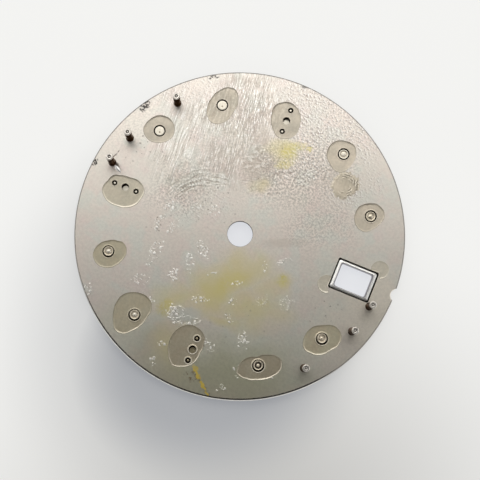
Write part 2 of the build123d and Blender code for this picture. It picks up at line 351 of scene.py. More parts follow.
# The rim's line of painted shade, which its worn places share, and its painted highlight
RIM_BLACK = (0.05, 0.045, 0.045, 1)
RIM_HIGHLIGHT = (1.0, 0.98, 0.93, 1)

# Tones of the lacquer's painted shade and of its painted highlight and paler thin edge, and of the
# lines that show through it by that much
LACQUER_SHADE = (0.2, 0.17, 0.13, 1)
LACQUER_PALE = (1.0, 0.94, 0.82, 1)
COVERED_DARK = (0.35, 0.28, 0.22, 1)
COVERED_LIGHT = (0.95, 0.88, 0.78, 1)
THROUGH_DROP = 0.1
THROUGH_SMEAR = 0.3
EDGE_STRENGTH = 0.8

# Lacquers: name, the markers or spots that have it, its light and its dark tone, and how much of
# the lines under it shows through
LACQUER_ROWS = (
    ("lacquer_by_the_upper_rim", (6, 7, 8),
     (0.589, 0.531, 0.44, 1), (0.531, 0.486, 0.407, 1), THROUGH_DROP),
    ("lacquer_by_the_right_side", (4, 5),
     (0.656, 0.581, 0.477, 1), (0.606, 0.548, 0.452, 1), THROUGH_DROP),
    ("lacquer_by_the_left_side", (9,),
     (0.598, 0.544, 0.44, 1), (0.573, 0.531, 0.432, 1), THROUGH_DROP),
    ("lacquer_at_the_lower_left", (10, 11),
     (0.539, 0.481, 0.357, 1), (0.498, 0.457, 0.349, 1), THROUGH_DROP),
    ("lacquer_by_the_lower_rim", (1, 12),
     (0.473, 0.415, 0.311, 1), (0.44, 0.398, 0.303, 1), THROUGH_DROP),
    ("lacquer_at_the_lower_right", (2,),
     (0.573, 0.506, 0.373, 1), (0.531, 0.49, 0.365, 1), THROUGH_DROP),
    ("thin_lacquer", ("inner", "outer"),
     (0.647, 0.598, 0.498, 1), (0.622, 0.581, 0.49, 1), THROUGH_DROP),
    ("smeared_lacquer", ("smear",),
     (0.647, 0.573, 0.465, 1), (0.581, 0.523, 0.423, 1), THROUGH_SMEAR),
)

# Tones of the front's paint and track, and of the luminous paste
FRONT_DARK = (0.016, 0.018, 0.022, 1)
FRONT_GREY = (0.028, 0.03, 0.035, 1)
TRACK_WHITE = (0.82, 0.82, 0.78, 1)
PASTE_DARK = (0.78, 0.83, 0.68, 1)
PASTE_PALE = (0.9, 0.92, 0.82, 1)

# How high or deep the marks are
GRAIN_HEIGHT = 0.0015
LINE_HEIGHT = 0.001
SCUFF_DEPTH = 0.005
FLAKE_HEIGHT = 0.012
GOUGE_DEPTH = 0.02
LACQUER_SWELL = 0.012
LACQUER_GRAIN = 0.001
PAINT_GRAIN = 0.004
PASTE_GRAIN = 0.01

# The shift between each dark grain and its painted highlight, and between each flake and its
# painted shadow, and how the grit runs in the photograph
LIGHT_SIDE = (0.06, 0.075, 0.0)
GRIT_TURN = 140
GRIT_STRETCH = (0.8, 1.05, 1.0)

# How far in from the rim its line of painted shade starts, its painted highlight starts, the
# painted shade wavers, and how much further in it lies on the photograph's lower side
RIM_LINE_REACH = 0.12
RIM_HIGHLIGHT_REACH = 0.1
RIM_LINE_WAVER = 0.12
RIM_LINE_SHIFT = 0.1

# The minute track of the front: half a stroke's width, and its ends' distances from the rim
TRACK_STROKE_HALF = 0.07
TRACK_INNER = 1.35
TRACK_OUTER = 0.45

# A soft patch's full middle, and where its outline runs, in shares of its half sizes
PATCH_CORE = 0.3
OUTLINE_RING = 0.9
OUTLINE_WIDTH = 0.14

# Specks: cells to a millimetre, the share of them that is filled, and a speck's size in its cell
FLAKES = {"Cells": 2.9, "Share": 0.5, "Size": 0.4}
CRUMBS = {"Cells": 5.5, "Share": 0.35, "Size": 0.45}
DOTS = {"Cells": 1.8, "Share": 0.35, "Size": 0.15}

# Marks on the back, as they are seen in the photograph: across, down, half length, half width,
# turn and strength
# LOWER_TONE and LOWER_DARK are painted shade on the photograph's lower side
LOWER_TONE = ((235, 372, 150, 62, 0, 1.0), (330, 300, 80, 60, 60, 0.2),
              (120, 330, 45, 50, 0, 0.6))
RIGHT_PALE = ((372, 312, 44, 60, 0, 1.0), (335, 335, 50, 40, 0, 0.6))
LOWER_DARK = ((208, 388, 130, 52, 0, 1.0), (160, 350, 50, 40, 40, 0.8))
# Darker places on the upper side
UPPER_DARKER = ((240, 84, 34, 14, 0, 0.9), (240, 118, 42, 46, 0, 1.0), (182, 182, 34, 24, 0, 1.0),
              (240, 160, 60, 40, 0, 0.9), (330, 180, 90, 60, 0, 0.5))
BRUSHED_LEFT = ((178, 140, 66, 32, 66, 0.9), (172, 95, 30, 20, 60, 0.6),
                (205, 160, 40, 14, 66, 0.6))
BRUSHED_MIDDLE = ((248, 108, 62, 48, 76, 1.0), (228, 160, 50, 34, 70, 0.7),
                  (212, 110, 44, 26, 70, 0.8), (268, 150, 40, 26, 70, 0.6))
BRUSHED_RIGHT = ((300, 100, 55, 30, 130, 0.6), (282, 175, 26, 14, 72, 0.8))
SCUFFS_ROUND = ((184, 184, 28, 15, 30, 1.0), (214, 182, 22, 12, 8, 0.9),
                (196, 172, 20, 10, 25, 0.6))
SCUFFS_MIDDLE = (212, 240)
SCUFFS_RADIUS = 55
SCUFFS_LEVEL = ((262, 182, 26, 4, 0, 1.0), (258, 160, 22, 24, 80, 0.8),
                (290, 176, 28, 12, -8, 0.8), (276, 198, 18, 4, -5, 0.9),
                (320, 172, 22, 9, -12, 0.6), (258, 192, 16, 7, 0, 0.7),
                (212, 192, 14, 7, 10, 0.6))
DULLED = ((262, 168, 26, 26, 80, 1.0), (262, 140, 20, 12, 80, 0.7), (330, 178, 16, 18, 60, 0.5),
          (285, 243, 34, 7, 2, 0.7), (330, 225, 40, 16, 0, 0.25))
SPECKLED = ((312, 118, 62, 44, 130, 1.0), (300, 160, 50, 26, -10, 0.8),
            (345, 190, 34, 26, 60, 0.7), (190, 90, 60, 18, 20, 0.55),
            (375, 180, 26, 16, -60, 0.5), (195, 205, 60, 20, 0, 0.4),
            (352, 132, 54, 22, 130, 0.8))
RUBBED = ((300, 170, 84, 62, 30, 0.85), (320, 225, 60, 40, 0, 0.55), (345, 110, 50, 40, 60, 0.4),
          (180, 185, 60, 40, 30, 0.7), (230, 130, 90, 70, 0, 0.35), (140, 120, 60, 40, 40, 0.25),
          (180, 290, 100, 60, 0, 0.12), (240, 240, 200, 200, 0, 0.1))
YELLOW_WIDE = ((236, 276, 50, 34, 20, 1.0), (216, 290, 60, 36, 28, 0.95),
               (180, 300, 52, 24, 12, 0.7), (250, 308, 56, 38, 0, 0.75),
               (166, 308, 14, 16, 0, 1.0), (283, 282, 17, 15, 0, 0.8),
               (262, 190, 18, 11, 0, 0.5), (284, 152, 26, 17, -10, 0.75),
               (170, 345, 34, 40, 0, 0.5), (222, 320, 16, 30, 60, 0.7),
               (270, 288, 30, 26, 0, 0.5))
YELLOW_SPOTS = ((283, 277, 5, 4, 0, 0.9), (309, 149, 4, 4, 0, 1.0), (289, 153, 12, 12, 0, 0.7),
                (163, 308, 8, 11, 0, 0.75), (228, 284, 20, 12, 40, 0.3),
                (282, 282, 9, 9, 0, 0.4), (296, 147, 18, 6, 10, 0.6),
                (262, 302, 10, 7, 0, 0.3), (284, 165, 14, 6, 10, 0.6))
STREAK = ((197, 374, 7, 1.7, -64, 1.0), (203, 386, 8, 1.9, -58, 1.0),
          (207, 396, 5, 1.6, -68, 1.0), (195, 368, 4, 2.2, -40, 0.7))
STREAK_EDGE = ((196, 376, 10, 3.4, -62, 0.8), (206, 391, 9, 3.2, -62, 0.9),
               (191, 380, 2.5, 3.5, 0, 1.0), (188, 373, 2, 2, 0, 0.8))
BARE_PATCH = ((184, 315, 22, 9, 5, 0.9), (176, 312, 8, 9, 0, 0.8))
BARE_OUTLINE = ((176, 312, 8.5, 7, 20, 0.7), (188, 321, 13, 4, -4, 0.6))
WHITE_FLAKES = (
    (155, 252, 20, 7, 60, 1.0), (160, 222, 11, 6, 55, 1.0), (172, 228, 12, 6, 55, 0.9),
    (189, 264, 5, 14, 0, 1.0), (203, 250, 6, 13, 20, 0.9), (174, 275, 6, 8, 0, 1.0),
    (140, 280, 10, 8, 0, 1.0), (152, 300, 7, 6, 0, 0.9), (200, 300, 12, 5, 0, 1.0),
    (172, 312, 8, 10, 30, 0.8), (185, 322, 14, 4, 0, 0.9), (209, 345, 7, 9, 0, 1.0),
    (233, 301, 6, 4, 0, 0.9), (229, 318, 6, 7, 0, 0.9), (237, 283, 7, 2.5, 0, 1.0),
    (212, 274, 6, 2.5, 10, 0.9), (162, 343, 5, 4, 0, 1.0), (153, 361, 5, 6, 0, 1.0),
    (88, 288, 5, 8, 0, 0.6), (240, 368, 9, 9, 0, 0.8), (221, 388, 6, 4, 0, 0.9),
    (243, 341, 7, 13, 0, 0.7), (170, 206, 9, 8, 0, 0.8), (196, 206, 7, 6, 0, 0.8),
    (214, 212, 7, 9, 20, 0.8), (265, 266, 4, 8, 0, 0.7), (284, 262, 12, 5, 20, 0.45),
    (288, 304, 14, 10, 20, 0.4), (255, 377, 30, 4, 0, 0.5), (150, 385, 20, 6, -30, 0.5),
    (262, 300, 10, 10, 0, 0.4),
)
DARK_SPECKS = ((322, 312, 30, 22, 0, 0.8), (158, 226, 18, 14, 0, 1.0),
               (200, 200, 60, 40, 0, 0.9), (185, 375, 14, 10, 0, 1.0),
               (96, 311, 9, 8, 0, 1.0), (145, 148, 40, 30, 0, 1.0),
               (300, 150, 60, 50, 0, 0.8), (150, 150, 50, 30, 0, 0.5),
               (240, 330, 60, 40, 0, 0.4))
RIM_WORN = ((145, 105, 8, 6, 40, 1.0), (95, 162, 5, 3.5, 60, 1.0), (213, 77, 7, 2, 5, 0.9),
            (305, 86, 5, 3, -30, 0.7))
# Where the rim's line of painted shade lies further in and is darker, with a painted highlight
# outside it
LOWER_EDGE = ((170, 400, 190, 170, 0, 1.0), (260, 410, 150, 60, 0, 1.0))
GOUGES = ((115, 165, 8.5, 3.6, -50, 1.0), (115, 155.5, 4, 0.9, 40, 0.8),
          (118.5, 151.5, 2, 0.7, 60, 0.8))

# Brushed areas: where, the lines' turn in the photograph, how many of them there are to a
# millimetre, their length, a seed, their sparsity, and how strong the light and the dark ones are
BRUSHED = (
    (BRUSHED_LEFT, 70, 9.0, 1.5, 1.0, 0.04, 1.0, 0.7),
    (BRUSHED_MIDDLE, 77, 11.0, 0.8, 2.0, 0.02, 1.0, 0.9),
    (BRUSHED_RIGHT, 76, 9.5, 0.25, 3.0, 0.03, 0.9, 0.8),
)


def hour_turn(hour):
    """An hour's direction from the centre, counter-clockwise from +X: 12 is at 90 degrees."""
    return 90 + 30 * hour


def polar(radius, turn):
    """The point at that radius and direction."""
    angle = np.radians(turn)
    return np.array([radius * np.cos(angle), radius * np.sin(angle)])


def marker_place(hour):
    """Where a marker is centred."""
    return polar(LONG_CIRCLE if hour in LONG_HOURS else ROUND_CIRCLE, hour_turn(hour))


def pin_places(hour):
    """Where a long marker's two pins stand: inwards and outwards from its middle."""
    step = polar(1, hour_turn(hour)) * PIN_SPACING / 2
    return [marker_place(hour) - step, marker_place(hour) + step]


def photo_turn():
    """The turn from the dial's axes to the photograph's."""
    return (
        Matrix.Rotation(np.radians(VIEW_TILT), 3, "X")
        @ Matrix.Rotation(np.radians(VIEW_LEAN), 3, "Y")
        @ Matrix.Rotation(np.radians(VIEW_ROLL), 3, "Z")
    )


def from_photo(x, y, z):
    """A point of the photograph's frame, in millimetres on the dial's axes."""
    return photo_turn().transposed() @ Vector((x, y - CAMERA_SHIFT_Y, z))


def on_dial(across, down, height=0.0):
    """Where a pixel of the photograph lies on the dial: the ray from the camera through it, run
    on until it meets the level at that height."""
    eye = from_photo(0, 0, CAMERA_DISTANCE)
    x, y = (across - PICTURE_SIZE / 2) * PIXEL, (PICTURE_SIZE / 2 - down) * PIXEL
    ray = from_photo(x, y, 0) - eye
    share = (height - eye.z) / ray.z
    return (eye + ray * share)[:2]


# Loops: closed rows of points in the plate's plane


def even_angles(count):
    """An even row of angles, once round."""
    return np.linspace(0, 2 * np.pi, count, endpoint=False)


def headings(angles):
    """Each angle's cosine and sine."""
    return np.stack([np.cos(angles), np.sin(angles)], axis=-1)


def circle_loop(centre, radius, count):
    """A circle: centre plus radius times the cosine and sine of an even row of angles."""
    return np.asarray(centre) + radius * headings(even_angles(count))


def bisectors(corners):
    """Each corner's bisector, which points into the polygon, and half of its angle."""
    before = np.roll(corners, 1, axis=0) - corners
    after = np.roll(corners, -1, axis=0) - corners
    before /= np.linalg.norm(before, axis=1)[:, None]
    after /= np.linalg.norm(after, axis=1)[:, None]
    bisector = before + after
    bisector /= np.linalg.norm(bisector, axis=1)[:, None]
    half = np.arccos(np.clip((before * after).sum(axis=1), -1, 1)) / 2
    return bisector, half


def inset_corners(corners, inset):
    """A polygon drawn in: each corner moves along its bisector by inset over the sine of its half
    angle, so every side moves in by inset."""
    corners = np.asarray(corners, float)
    bisector, half = bisectors(corners)
    return corners + bisector * (inset / np.sin(half))[:, None]


def rounded_loop(corners, radius, arc_points):
    """A polygon with round corners: at each corner an arc of that radius, tangent to both sides.
    The arc's centre is that corner of the polygon drawn in by the radius."""
    bisector, half = bisectors(np.asarray(corners, float))
    middle = np.arctan2(-bisector[:, 1], -bisector[:, 0])
    sweep = np.pi / 2 - half
    angles = middle[:, None] + sweep[:, None] * np.linspace(-1, 1, arc_points)
    arcs = inset_corners(corners, radius)[:, None] + radius * headings(angles)
    return arcs.reshape(-1, 2)


def box_loop(half_sizes, radius):
    """A rectangle with round corners round the window's middle, from its half sizes."""
    x, y = half_sizes
    corners = [(x, -y), (x, y), (-x, y), (-x, -y)]
    return np.asarray(DATE_CENTRE) + rounded_loop(corners, radius, CORNER_POINTS)


def smooth_reach(shares, angles):
    """A closed smooth curve of reach against angle through the given pairs: between two of them a
    cubic whose slope at each is that of the line through its neighbours."""
    turns = np.radians([turn for turn, _ in shares])
    reach = np.array([share for _, share in shares])
    turns = np.concatenate([turns[-2:] - 2 * np.pi, turns, turns[:2] + 2 * np.pi])
    reach = np.concatenate([reach[-2:], reach, reach[:2]])
    slope = (reach[2:] - reach[:-2]) / (turns[2:] - turns[:-2])
    turns, reach = turns[1:-1], reach[1:-1]
    angles = np.mod(angles - turns[0], 2 * np.pi) + turns[0]
    i = np.clip(np.searchsorted(turns, angles, side="right") - 1, 0, len(turns) - 2)
    width = turns[i + 1] - turns[i]
    t = (angles - turns[i]) / width
    return (
        (2 * t**3 - 3 * t**2 + 1) * reach[i]
        + (t**3 - 2 * t**2 + t) * width * slope[i]
        + (3 * t**2 - 2 * t**3) * reach[i + 1]
        + (t**3 - t**2) * width * slope[i + 1]
    )


def inside(points, loop):
    """Whether each point is inside a loop: a ray to its right crosses the loop an odd number of
    times."""
    x, y = points[:, 0, None], points[:, 1, None]
    x0, y0 = loop[:, 0], loop[:, 1]
    x1, y1 = np.roll(x0, -1), np.roll(y0, -1)
    spans = (y0 > y) != (y1 > y)
    crossing = x0 + (y - y0) * (x1 - x0) / np.where(y1 == y0, 1e-12, y1 - y0)
    return (spans & (x < crossing)).sum(axis=1) % 2 == 1


# Meshes: lists of (vertices, faces, smooth) that are joined into one object


def ring_walls(rings, smooth=True):
    """Walls between rings of equal count: each ring's points joined to the next ring's by
    four-sided faces."""
    rings = np.asarray(rings)
    count, around = rings.shape[:2]
    row = np.arange(count - 1)[:, None] * around
    here = np.arange(around)[None, :]
    beside = (here + 1) % around
    faces = np.stack([row + here, row + beside, row + around + beside, row + around + here],
                     axis=2)
    return rings.reshape(-1, 3), faces.reshape(-1, 4), smooth


def flipped(part):
    """The same part with its faces turned over."""
    vertices, faces, smooth = part
    return vertices, faces[:, ::-1], smooth


def fan(ring, tip):
    """A cap: triangles from a ring to one point."""
    ring = np.asarray(ring)
    count = len(ring)
    index = np.arange(count)
    faces = np.stack([index, (index + 1) % count, np.full(count, count)], axis=1)
    return np.vstack([ring, tip]), faces, True


def flat_fill(outer, holes, z, up=True):
    """A flat sheet at height z, bounded by one loop and open at the holes: a triangulation that
    keeps every loop's edges, less the triangles whose middles lie outside."""
    loops = [outer] + list(holes)
    points = np.vstack(loops)
    starts = np.cumsum([0] + [len(loop) for loop in loops])
    edges = [
        (int(s + i), int(s + (i + 1) % len(loop)))
        for s, loop in zip(starts, loops)
        for i in range(len(loop))
    ]
    got = delaunay_2d_cdt([Vector(p) for p in points.tolist()], edges, [], 0, 1e-7)
    flat = np.array(got[0])
    faces = np.array(got[2])
    middles = flat[faces].mean(axis=1)
    keep = inside(middles, outer)
    for hole in holes:
        keep &= ~inside(middles, hole)
    faces = faces[keep]
    a, b, c = flat[faces[:, 0]], flat[faces[:, 1]], flat[faces[:, 2]]
    left = (b[:, 0] - a[:, 0]) * (c[:, 1] - a[:, 1]) - (b[:, 1] - a[:, 1]) * (c[:, 0] - a[:, 0])
    wrong = (left < 0) == up
    faces[wrong] = faces[wrong][:, ::-1]
    return np.column_stack([flat, np.full(len(flat), z)]), faces, False


def lift(loop, z):
    """A loop at a height, one height or one for each point."""
    return np.column_stack([loop, np.broadcast_to(z, len(loop))])


def lathe(profile, centre, count=TURNED_POINTS, tips=(None, None)):
    """A turned shape: each (radius, height) of the profile becomes a circle, and a tip closes an
    end. A profile that runs up on its outside has its faces outwards."""
    rings = [lift(circle_loop(centre, radius, count), z) for radius, z in profile]
    parts = [ring_walls(rings)]
    if tips[0] is not None:
        parts.append(flipped(fan(rings[0], (*centre, tips[0]))))
    if tips[1] is not None:
        parts.append(fan(rings[-1], (*centre, tips[1])))
    return parts


def make_piece(name, parts, materials, node, slots=None, shades=None):
    """Joins the parts into one mesh in metres, with its doubles merged, and puts it in the place
    of a node. slots gives each part's material number, and shades the darkness of each point,
    which the lacquer paints as shade above nothing and as a highlight or a paler edge below it."""
    vertices, corners, starts, smooth, numbers = [], [], [], [], []
    vertex_count = corner_count = 0
    for i, (points, faces, is_smooth) in enumerate(parts):
        faces = np.asarray(faces)
        count, sides = faces.shape
        vertices.append(np.asarray(points) * METRES)
        corners.append((faces + vertex_count).ravel())
        starts.append(corner_count + sides * np.arange(count))
        smooth.append(np.full(count, is_smooth))
        numbers.append(np.full(count, slots[i] if slots else 0))
        vertex_count += len(points)
        corner_count += faces.size
    mesh = bpy.data.meshes.new(name)
    mesh.vertices.add(vertex_count)
    mesh.vertices.foreach_set("co", np.vstack(vertices).ravel())
    mesh.loops.add(corner_count)
    mesh.loops.foreach_set("vertex_index", np.concatenate(corners))
    mesh.polygons.add(sum(len(row) for row in starts))
    mesh.polygons.foreach_set("loop_start", np.concatenate(starts))
    mesh.polygons.foreach_set("use_smooth", np.concatenate(smooth))
    mesh.polygons.foreach_set("material_index", np.concatenate(numbers))
    if shades is not None:
        mesh.attributes.new("shade", "FLOAT", "POINT").data.foreach_set(
            "value", np.concatenate(shades).astype(np.float32))
    for material in materials:
        mesh.materials.append(material)
    mesh.update(calc_edges=True)
    mesh.validate()
    piece = bpy.data.objects.new(name, mesh)
    bpy.context.scene.collection.objects.link(piece)
    merge = piece.modifiers.new("merge", "WELD")
    merge.merge_threshold = MERGE_REACH
    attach(piece, BODY)
    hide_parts(node)
    return piece


# Shader nodes


def fill(tree, node, inputs):
    """Fills a node's inputs from values or sockets."""
    for key, value in inputs.items():
        socket = node.inputs[key]
        if isinstance(value, bpy.types.NodeSocket):
            tree.links.new(value, socket)
        else:
            socket.default_value = value
    return node


def put(tree, kind, inputs, **settings):
    """Adds a node, sets its settings and fills its inputs."""
    node = tree.nodes.new(kind)
    for key, value in settings.items():
        setattr(node, key, value)
    return fill(tree, node, inputs)


def calc(tree, operation, a, b=0.0, clamp=False):
    """One sum on two values."""
    node = put(tree, "ShaderNodeMath", {0: a, 1: b}, operation=operation, use_clamp=clamp)
    return node.outputs[0]


def vector_calc(tree, operation, a, b, c=(0, 0, 0)):
    """One sum on two vectors, or on three."""
    return put(tree, "ShaderNodeVectorMath", {0: a, 1: b, 2: c}, operation=operation).outputs[0]


def length_of(tree, arrow):
    """How long a vector is."""
    return put(tree, "ShaderNodeVectorMath", {0: arrow}, operation="LENGTH").outputs["Value"]


def turned(tree, place, angle):
    """A place turned about the middle of the dial."""
    return put(tree, "ShaderNodeVectorRotate", {"Vector": place, "Angle": angle},
               rotation_type="Z_AXIS").outputs[0]


def noise(tree, place, waves, detail=2.0, roughness=0.5, output=0):
    """Noise of that many waves to a millimetre."""
    inputs = {"Vector": place, "Scale": waves, "Detail": detail, "Roughness": roughness}
    return put(tree, "ShaderNodeTexNoise", inputs).outputs[output]


def blend_colour(tree, share, under, over, kind="MIX"):
    """Two colours mixed by a share."""
    node = put(tree, "ShaderNodeMix", {0: share, 6: under, 7: over}, data_type="RGBA",
               blend_type=kind)
    return node.outputs[2]


def paint(tree, colour, mask, strength, tone):
    """A colour with a tone laid over it by a mask, at most at that strength."""
    return blend_colour(tree, calc(tree, "MULTIPLY", mask, strength), colour, tone)


def raised(tree, height, mask, rise):
    """A height that rises by that much where the mask is one."""
    return calc(tree, "ADD", height, calc(tree, "MULTIPLY", mask, rise))


def bumped(tree, height, strength=1.0, distance=METRES):
    """The surface's direction over a height."""
    inputs = {"Height": height, "Strength": strength, "Distance": distance}
    return put(tree, "ShaderNodeBump", inputs).outputs[0]


def span(tree, value, low, high, to_low=0.0, to_high=1.0):
    """A value's stretch from low to high, eased into another stretch."""
    node = put(
        tree, "ShaderNodeMapRange",
        {"Value": value, "From Min": low, "From Max": high, "To Min": to_low, "To Max": to_high},
        interpolation_type="SMOOTHSTEP",
    )
    return node.outputs["Result"]


def new_group(name, inputs, outputs):
    """A shader node group with named sockets. Inputs are (name, kind, default)."""
    tree = bpy.data.node_groups.new(name, "ShaderNodeTree")
    for label, kind, default in inputs:
        socket = tree.interface.new_socket(label, in_out="INPUT", socket_type=kind)
        socket.default_value = default
    for label, kind in outputs:
        tree.interface.new_socket(label, in_out="OUTPUT", socket_type=kind)
    return tree, tree.nodes.new("NodeGroupInput").outputs, tree.nodes.new("NodeGroupOutput").inputs


def use_group(tree, group, inputs):
    """Places a group with its own values."""
    return put(tree, "ShaderNodeGroup", inputs, node_tree=group).outputs


FLOAT, VECTOR = "NodeSocketFloat", "NodeSocketVector"


def soft_patch_group():
    """A soft oval mark: the distance from its middle, in shares of its half sizes, eased from one
    inside the core to nothing at the edge. Its outline is the thin band where that distance is
    near the ring's."""
    tree, given, out = new_group(
        "soft_patch",
        [("Place", VECTOR, (0, 0, 0)), ("Middle", VECTOR, (0, 0, 0)), ("Turn", FLOAT, 0.0),
         ("Half Sizes", VECTOR, (1, 1, 1)), ("Core", FLOAT, PATCH_CORE)],
        [("Mask", FLOAT), ("Outline", FLOAT)],
    )
    away = vector_calc(tree, "SUBTRACT", given["Place"], given["Middle"])
    level = vector_calc(tree, "MULTIPLY", away, (1, 1, 0))
    own = turned(tree, level, calc(tree, "MULTIPLY", given["Turn"], -1.0))
    distance = length_of(tree, vector_calc(tree, "DIVIDE", own, given["Half Sizes"]))
    off = calc(tree, "ABSOLUTE", calc(tree, "SUBTRACT", distance, OUTLINE_RING))
    tree.links.new(span(tree, distance, 1.0, given["Core"]), out["Mask"])
    tree.links.new(span(tree, off, OUTLINE_WIDTH, 0.0), out["Outline"])
    return tree


def brush_lines_group():
    """Brush marks, from how far a point is along them and across them: a noise stretched along them
    gives a light line wherever it is high and a dark one wherever it is low, both broken by grain,
    and a slower one gives the change of shade across them."""
    tree, given, out = new_group(
        "brush_lines",
        [("Place", VECTOR, (0, 0, 0)), ("Along", FLOAT, 0.0), ("Across", FLOAT, 0.0),
         ("Fineness", FLOAT, 2.0), ("Length", FLOAT, 2.0), ("Seed", FLOAT, 0.0),
         ("Sparsity", FLOAT, 0.03)],
        [("Light", FLOAT), ("Dark", FLOAT), ("Shade", FLOAT)],
    )
    sway = calc(tree, "MULTIPLY", noise(tree, given["Place"], 0.4), 2.0)
    broken = span(tree, noise(tree, given["Place"], 6.5), 0.36, 0.58, 0.1, 1.0)
    across = calc(tree, "ADD", calc(tree, "MULTIPLY", given["Across"], given["Fineness"]), sway)
    along = calc(tree, "DIVIDE", given["Along"], given["Length"])
    flat = put(tree, "ShaderNodeCombineXYZ",
               {"X": along, "Y": across, "Z": given["Seed"]}).outputs[0]
    above = calc(tree, "SUBTRACT", noise(tree, flat, 1.0, 1.0), 0.5)
    for label, side in (("Light", 1.0), ("Dark", -1.0)):
        beyond = calc(tree, "SUBTRACT", calc(tree, "MULTIPLY", above, side), given["Sparsity"])
        line = calc(tree, "MULTIPLY", span(tree, beyond, 0.0, 0.08), broken)
        tree.links.new(line, out[label])
    tree.links.new(noise(tree, flat, 0.22, 2.0, 0.55), out["Shade"])
    return tree


def specks_group():
    """Small specks: cells whose random number is below the share, each shown as the part of the
    cell near its point, ragged by noise."""
    tree, given, out = new_group(
        "specks",
        [("Place", VECTOR, (0, 0, 0)), ("Cells", FLOAT, 3.0), ("Share", FLOAT, 0.2),
         ("Size", FLOAT, 0.25)],
        [("Mask", FLOAT)],
    )
    ragged = noise(tree, given["Place"], 7.0, output="Color")
    moved = vector_calc(tree, "MULTIPLY_ADD", ragged, (0.28, 0.28, 0.0), given["Place"])
    cells = put(tree, "ShaderNodeTexVoronoi", {"Vector": moved, "Scale": given["Cells"]},
                voronoi_dimensions="2D").outputs
    pick = put(tree, "ShaderNodeSeparateColor", {0: cells["Color"]}).outputs
    chosen = calc(tree, "LESS_THAN", pick["Red"], given["Share"])
    varied = calc(tree, "ADD", calc(tree, "MULTIPLY", pick["Green"], 0.8), 0.45)
    own_size = calc(tree, "MULTIPLY", given["Size"], varied)
    far = calc(tree, "DIVIDE", cells["Distance"], own_size)
    near = calc(tree, "SUBTRACT", 1.0, far, clamp=True)
    tree.links.new(calc(tree, "MULTIPLY", chosen, span(tree, near, 0.0, 0.5)), out["Mask"])
    return tree


SOFT_PATCH = soft_patch_group()
BRUSH_LINES = brush_lines_group()
SPECKS = specks_group()


def new_material(name):
    """An empty material and its shader."""
    material = bpy.data.materials.new(name)
    material.use_nodes = True
    tree = material.node_tree
    return material, tree, tree.nodes["Principled BSDF"]


def dial_millimetres(tree):
    """The place on the dial, in millimetres."""
    here = put(tree, "ShaderNodeTexCoord", {}).outputs["Object"]
    return put(tree, "ShaderNodeVectorMath", {0: here, "Scale": 1 / METRES},
               operation="SCALE").outputs[0]


def shifted(tree, place, waves, reach, detail=2.0):
    """The place moved about by noise: up to half the reach each way, at that many waves to a
    millimetre."""
    centred = vector_calc(tree, "SUBTRACT", noise(tree, place, waves, detail, output="Color"),
                          (0.5, 0.5, 0.5))
    return vector_calc(tree, "MULTIPLY_ADD", centred, (reach, reach, 0.0), place)


def straight_lines(tree, place, turn, fineness, length, seed, sparsity=0.03):
    """Brush marks that run at that turn in the photograph."""
    own = put(tree, "ShaderNodeSeparateXYZ",
              {0: turned(tree, place, np.radians(VIEW_ROLL - turn))}).outputs
    return use_group(tree, BRUSH_LINES, {
        "Place": place, "Along": own["X"], "Across": own["Y"], "Fineness": fineness,
        "Length": length, "Seed": seed, "Sparsity": sparsity})


def arc_lines(tree, place, middle, radius, fineness, length, seed):
    """Brush marks that run round a pixel of the photograph, about that many pixels out: along is
    the angle times the radius, and across is the distance from the middle."""
    x, y = on_dial(*middle)
    away = vector_calc(tree, "SUBTRACT", place, (x, y, 0.0))
    split = put(tree, "ShaderNodeSeparateXYZ", {0: away}).outputs
    angle = calc(tree, "ARCTAN2", split["Y"], split["X"])
    return use_group(tree, BRUSH_LINES, {
        "Place": place, "Along": calc(tree, "MULTIPLY", angle, radius * PIXEL),
        "Across": length_of(tree, away), "Fineness": fineness, "Length": length, "Seed": seed})


def patches(tree, place, rows, core=PATCH_CORE, output="Mask", height=0.0):
    """The strongest of several soft patches, or of their outlines, at that height. A row is
    (across, down, half length, half width, turn, strength) as the patch is seen in the photograph,
    in its pixels."""
    total = None
    for across, down, length, width, turn, strength in rows:
        x, y = on_dial(across, down, height)
        mask = use_group(tree, SOFT_PATCH, {
            "Place": place, "Middle": (x, y, 0.0), "Turn": np.radians(turn - VIEW_ROLL),
            "Half Sizes": (length * PIXEL, width * PIXEL, 1.0), "Core": core,
        })[output]
        mask = calc(tree, "MULTIPLY", mask, strength)
        total = mask if total is None else calc(tree, "MAXIMUM", total, mask)
    return total


# The back of the plate


def plate_tone(tree, wavy, cloud, tint, grain):
    """The plating's colour: silver that drifts between warm, pink and green, uneven by its grain,
    paler and warmer in places on the right and darker in places on the upper side. Painted shade
    makes it greyer and darker towards the photograph's lower side."""
    colour = blend_colour(tree, span(tree, cloud, 0.36, 0.64), SILVER, COOL_SILVER)
    for channel, most, tone in (("Red", 0.45, PINK_SILVER), ("Green", 0.5, GREEN_SILVER)):
        share = span(tree, tint[channel], 0.5, 0.66, 0.0, most)
        colour = blend_colour(tree, share, colour, tone)
    for rows, core, tone, kind in (
        (LOWER_TONE, 0.0, SHADED_LOWER_SILVER, "MIX"),
        (LOWER_DARK, PATCH_CORE, LOWER_SHADE, "MULTIPLY"),
        (RIGHT_PALE, PATCH_CORE, RIGHT_SILVER, "MIX"),
        (UPPER_DARKER, PATCH_CORE, UPPER_SHADE, "MULTIPLY"),
    ):
        colour = blend_colour(tree, patches(tree, wavy, rows, core), colour, tone, kind)
    return blend_colour(tree, 1.0, colour, span(tree, grain, 0.32, 0.68, 0.95, 1.04), "MULTIPLY")


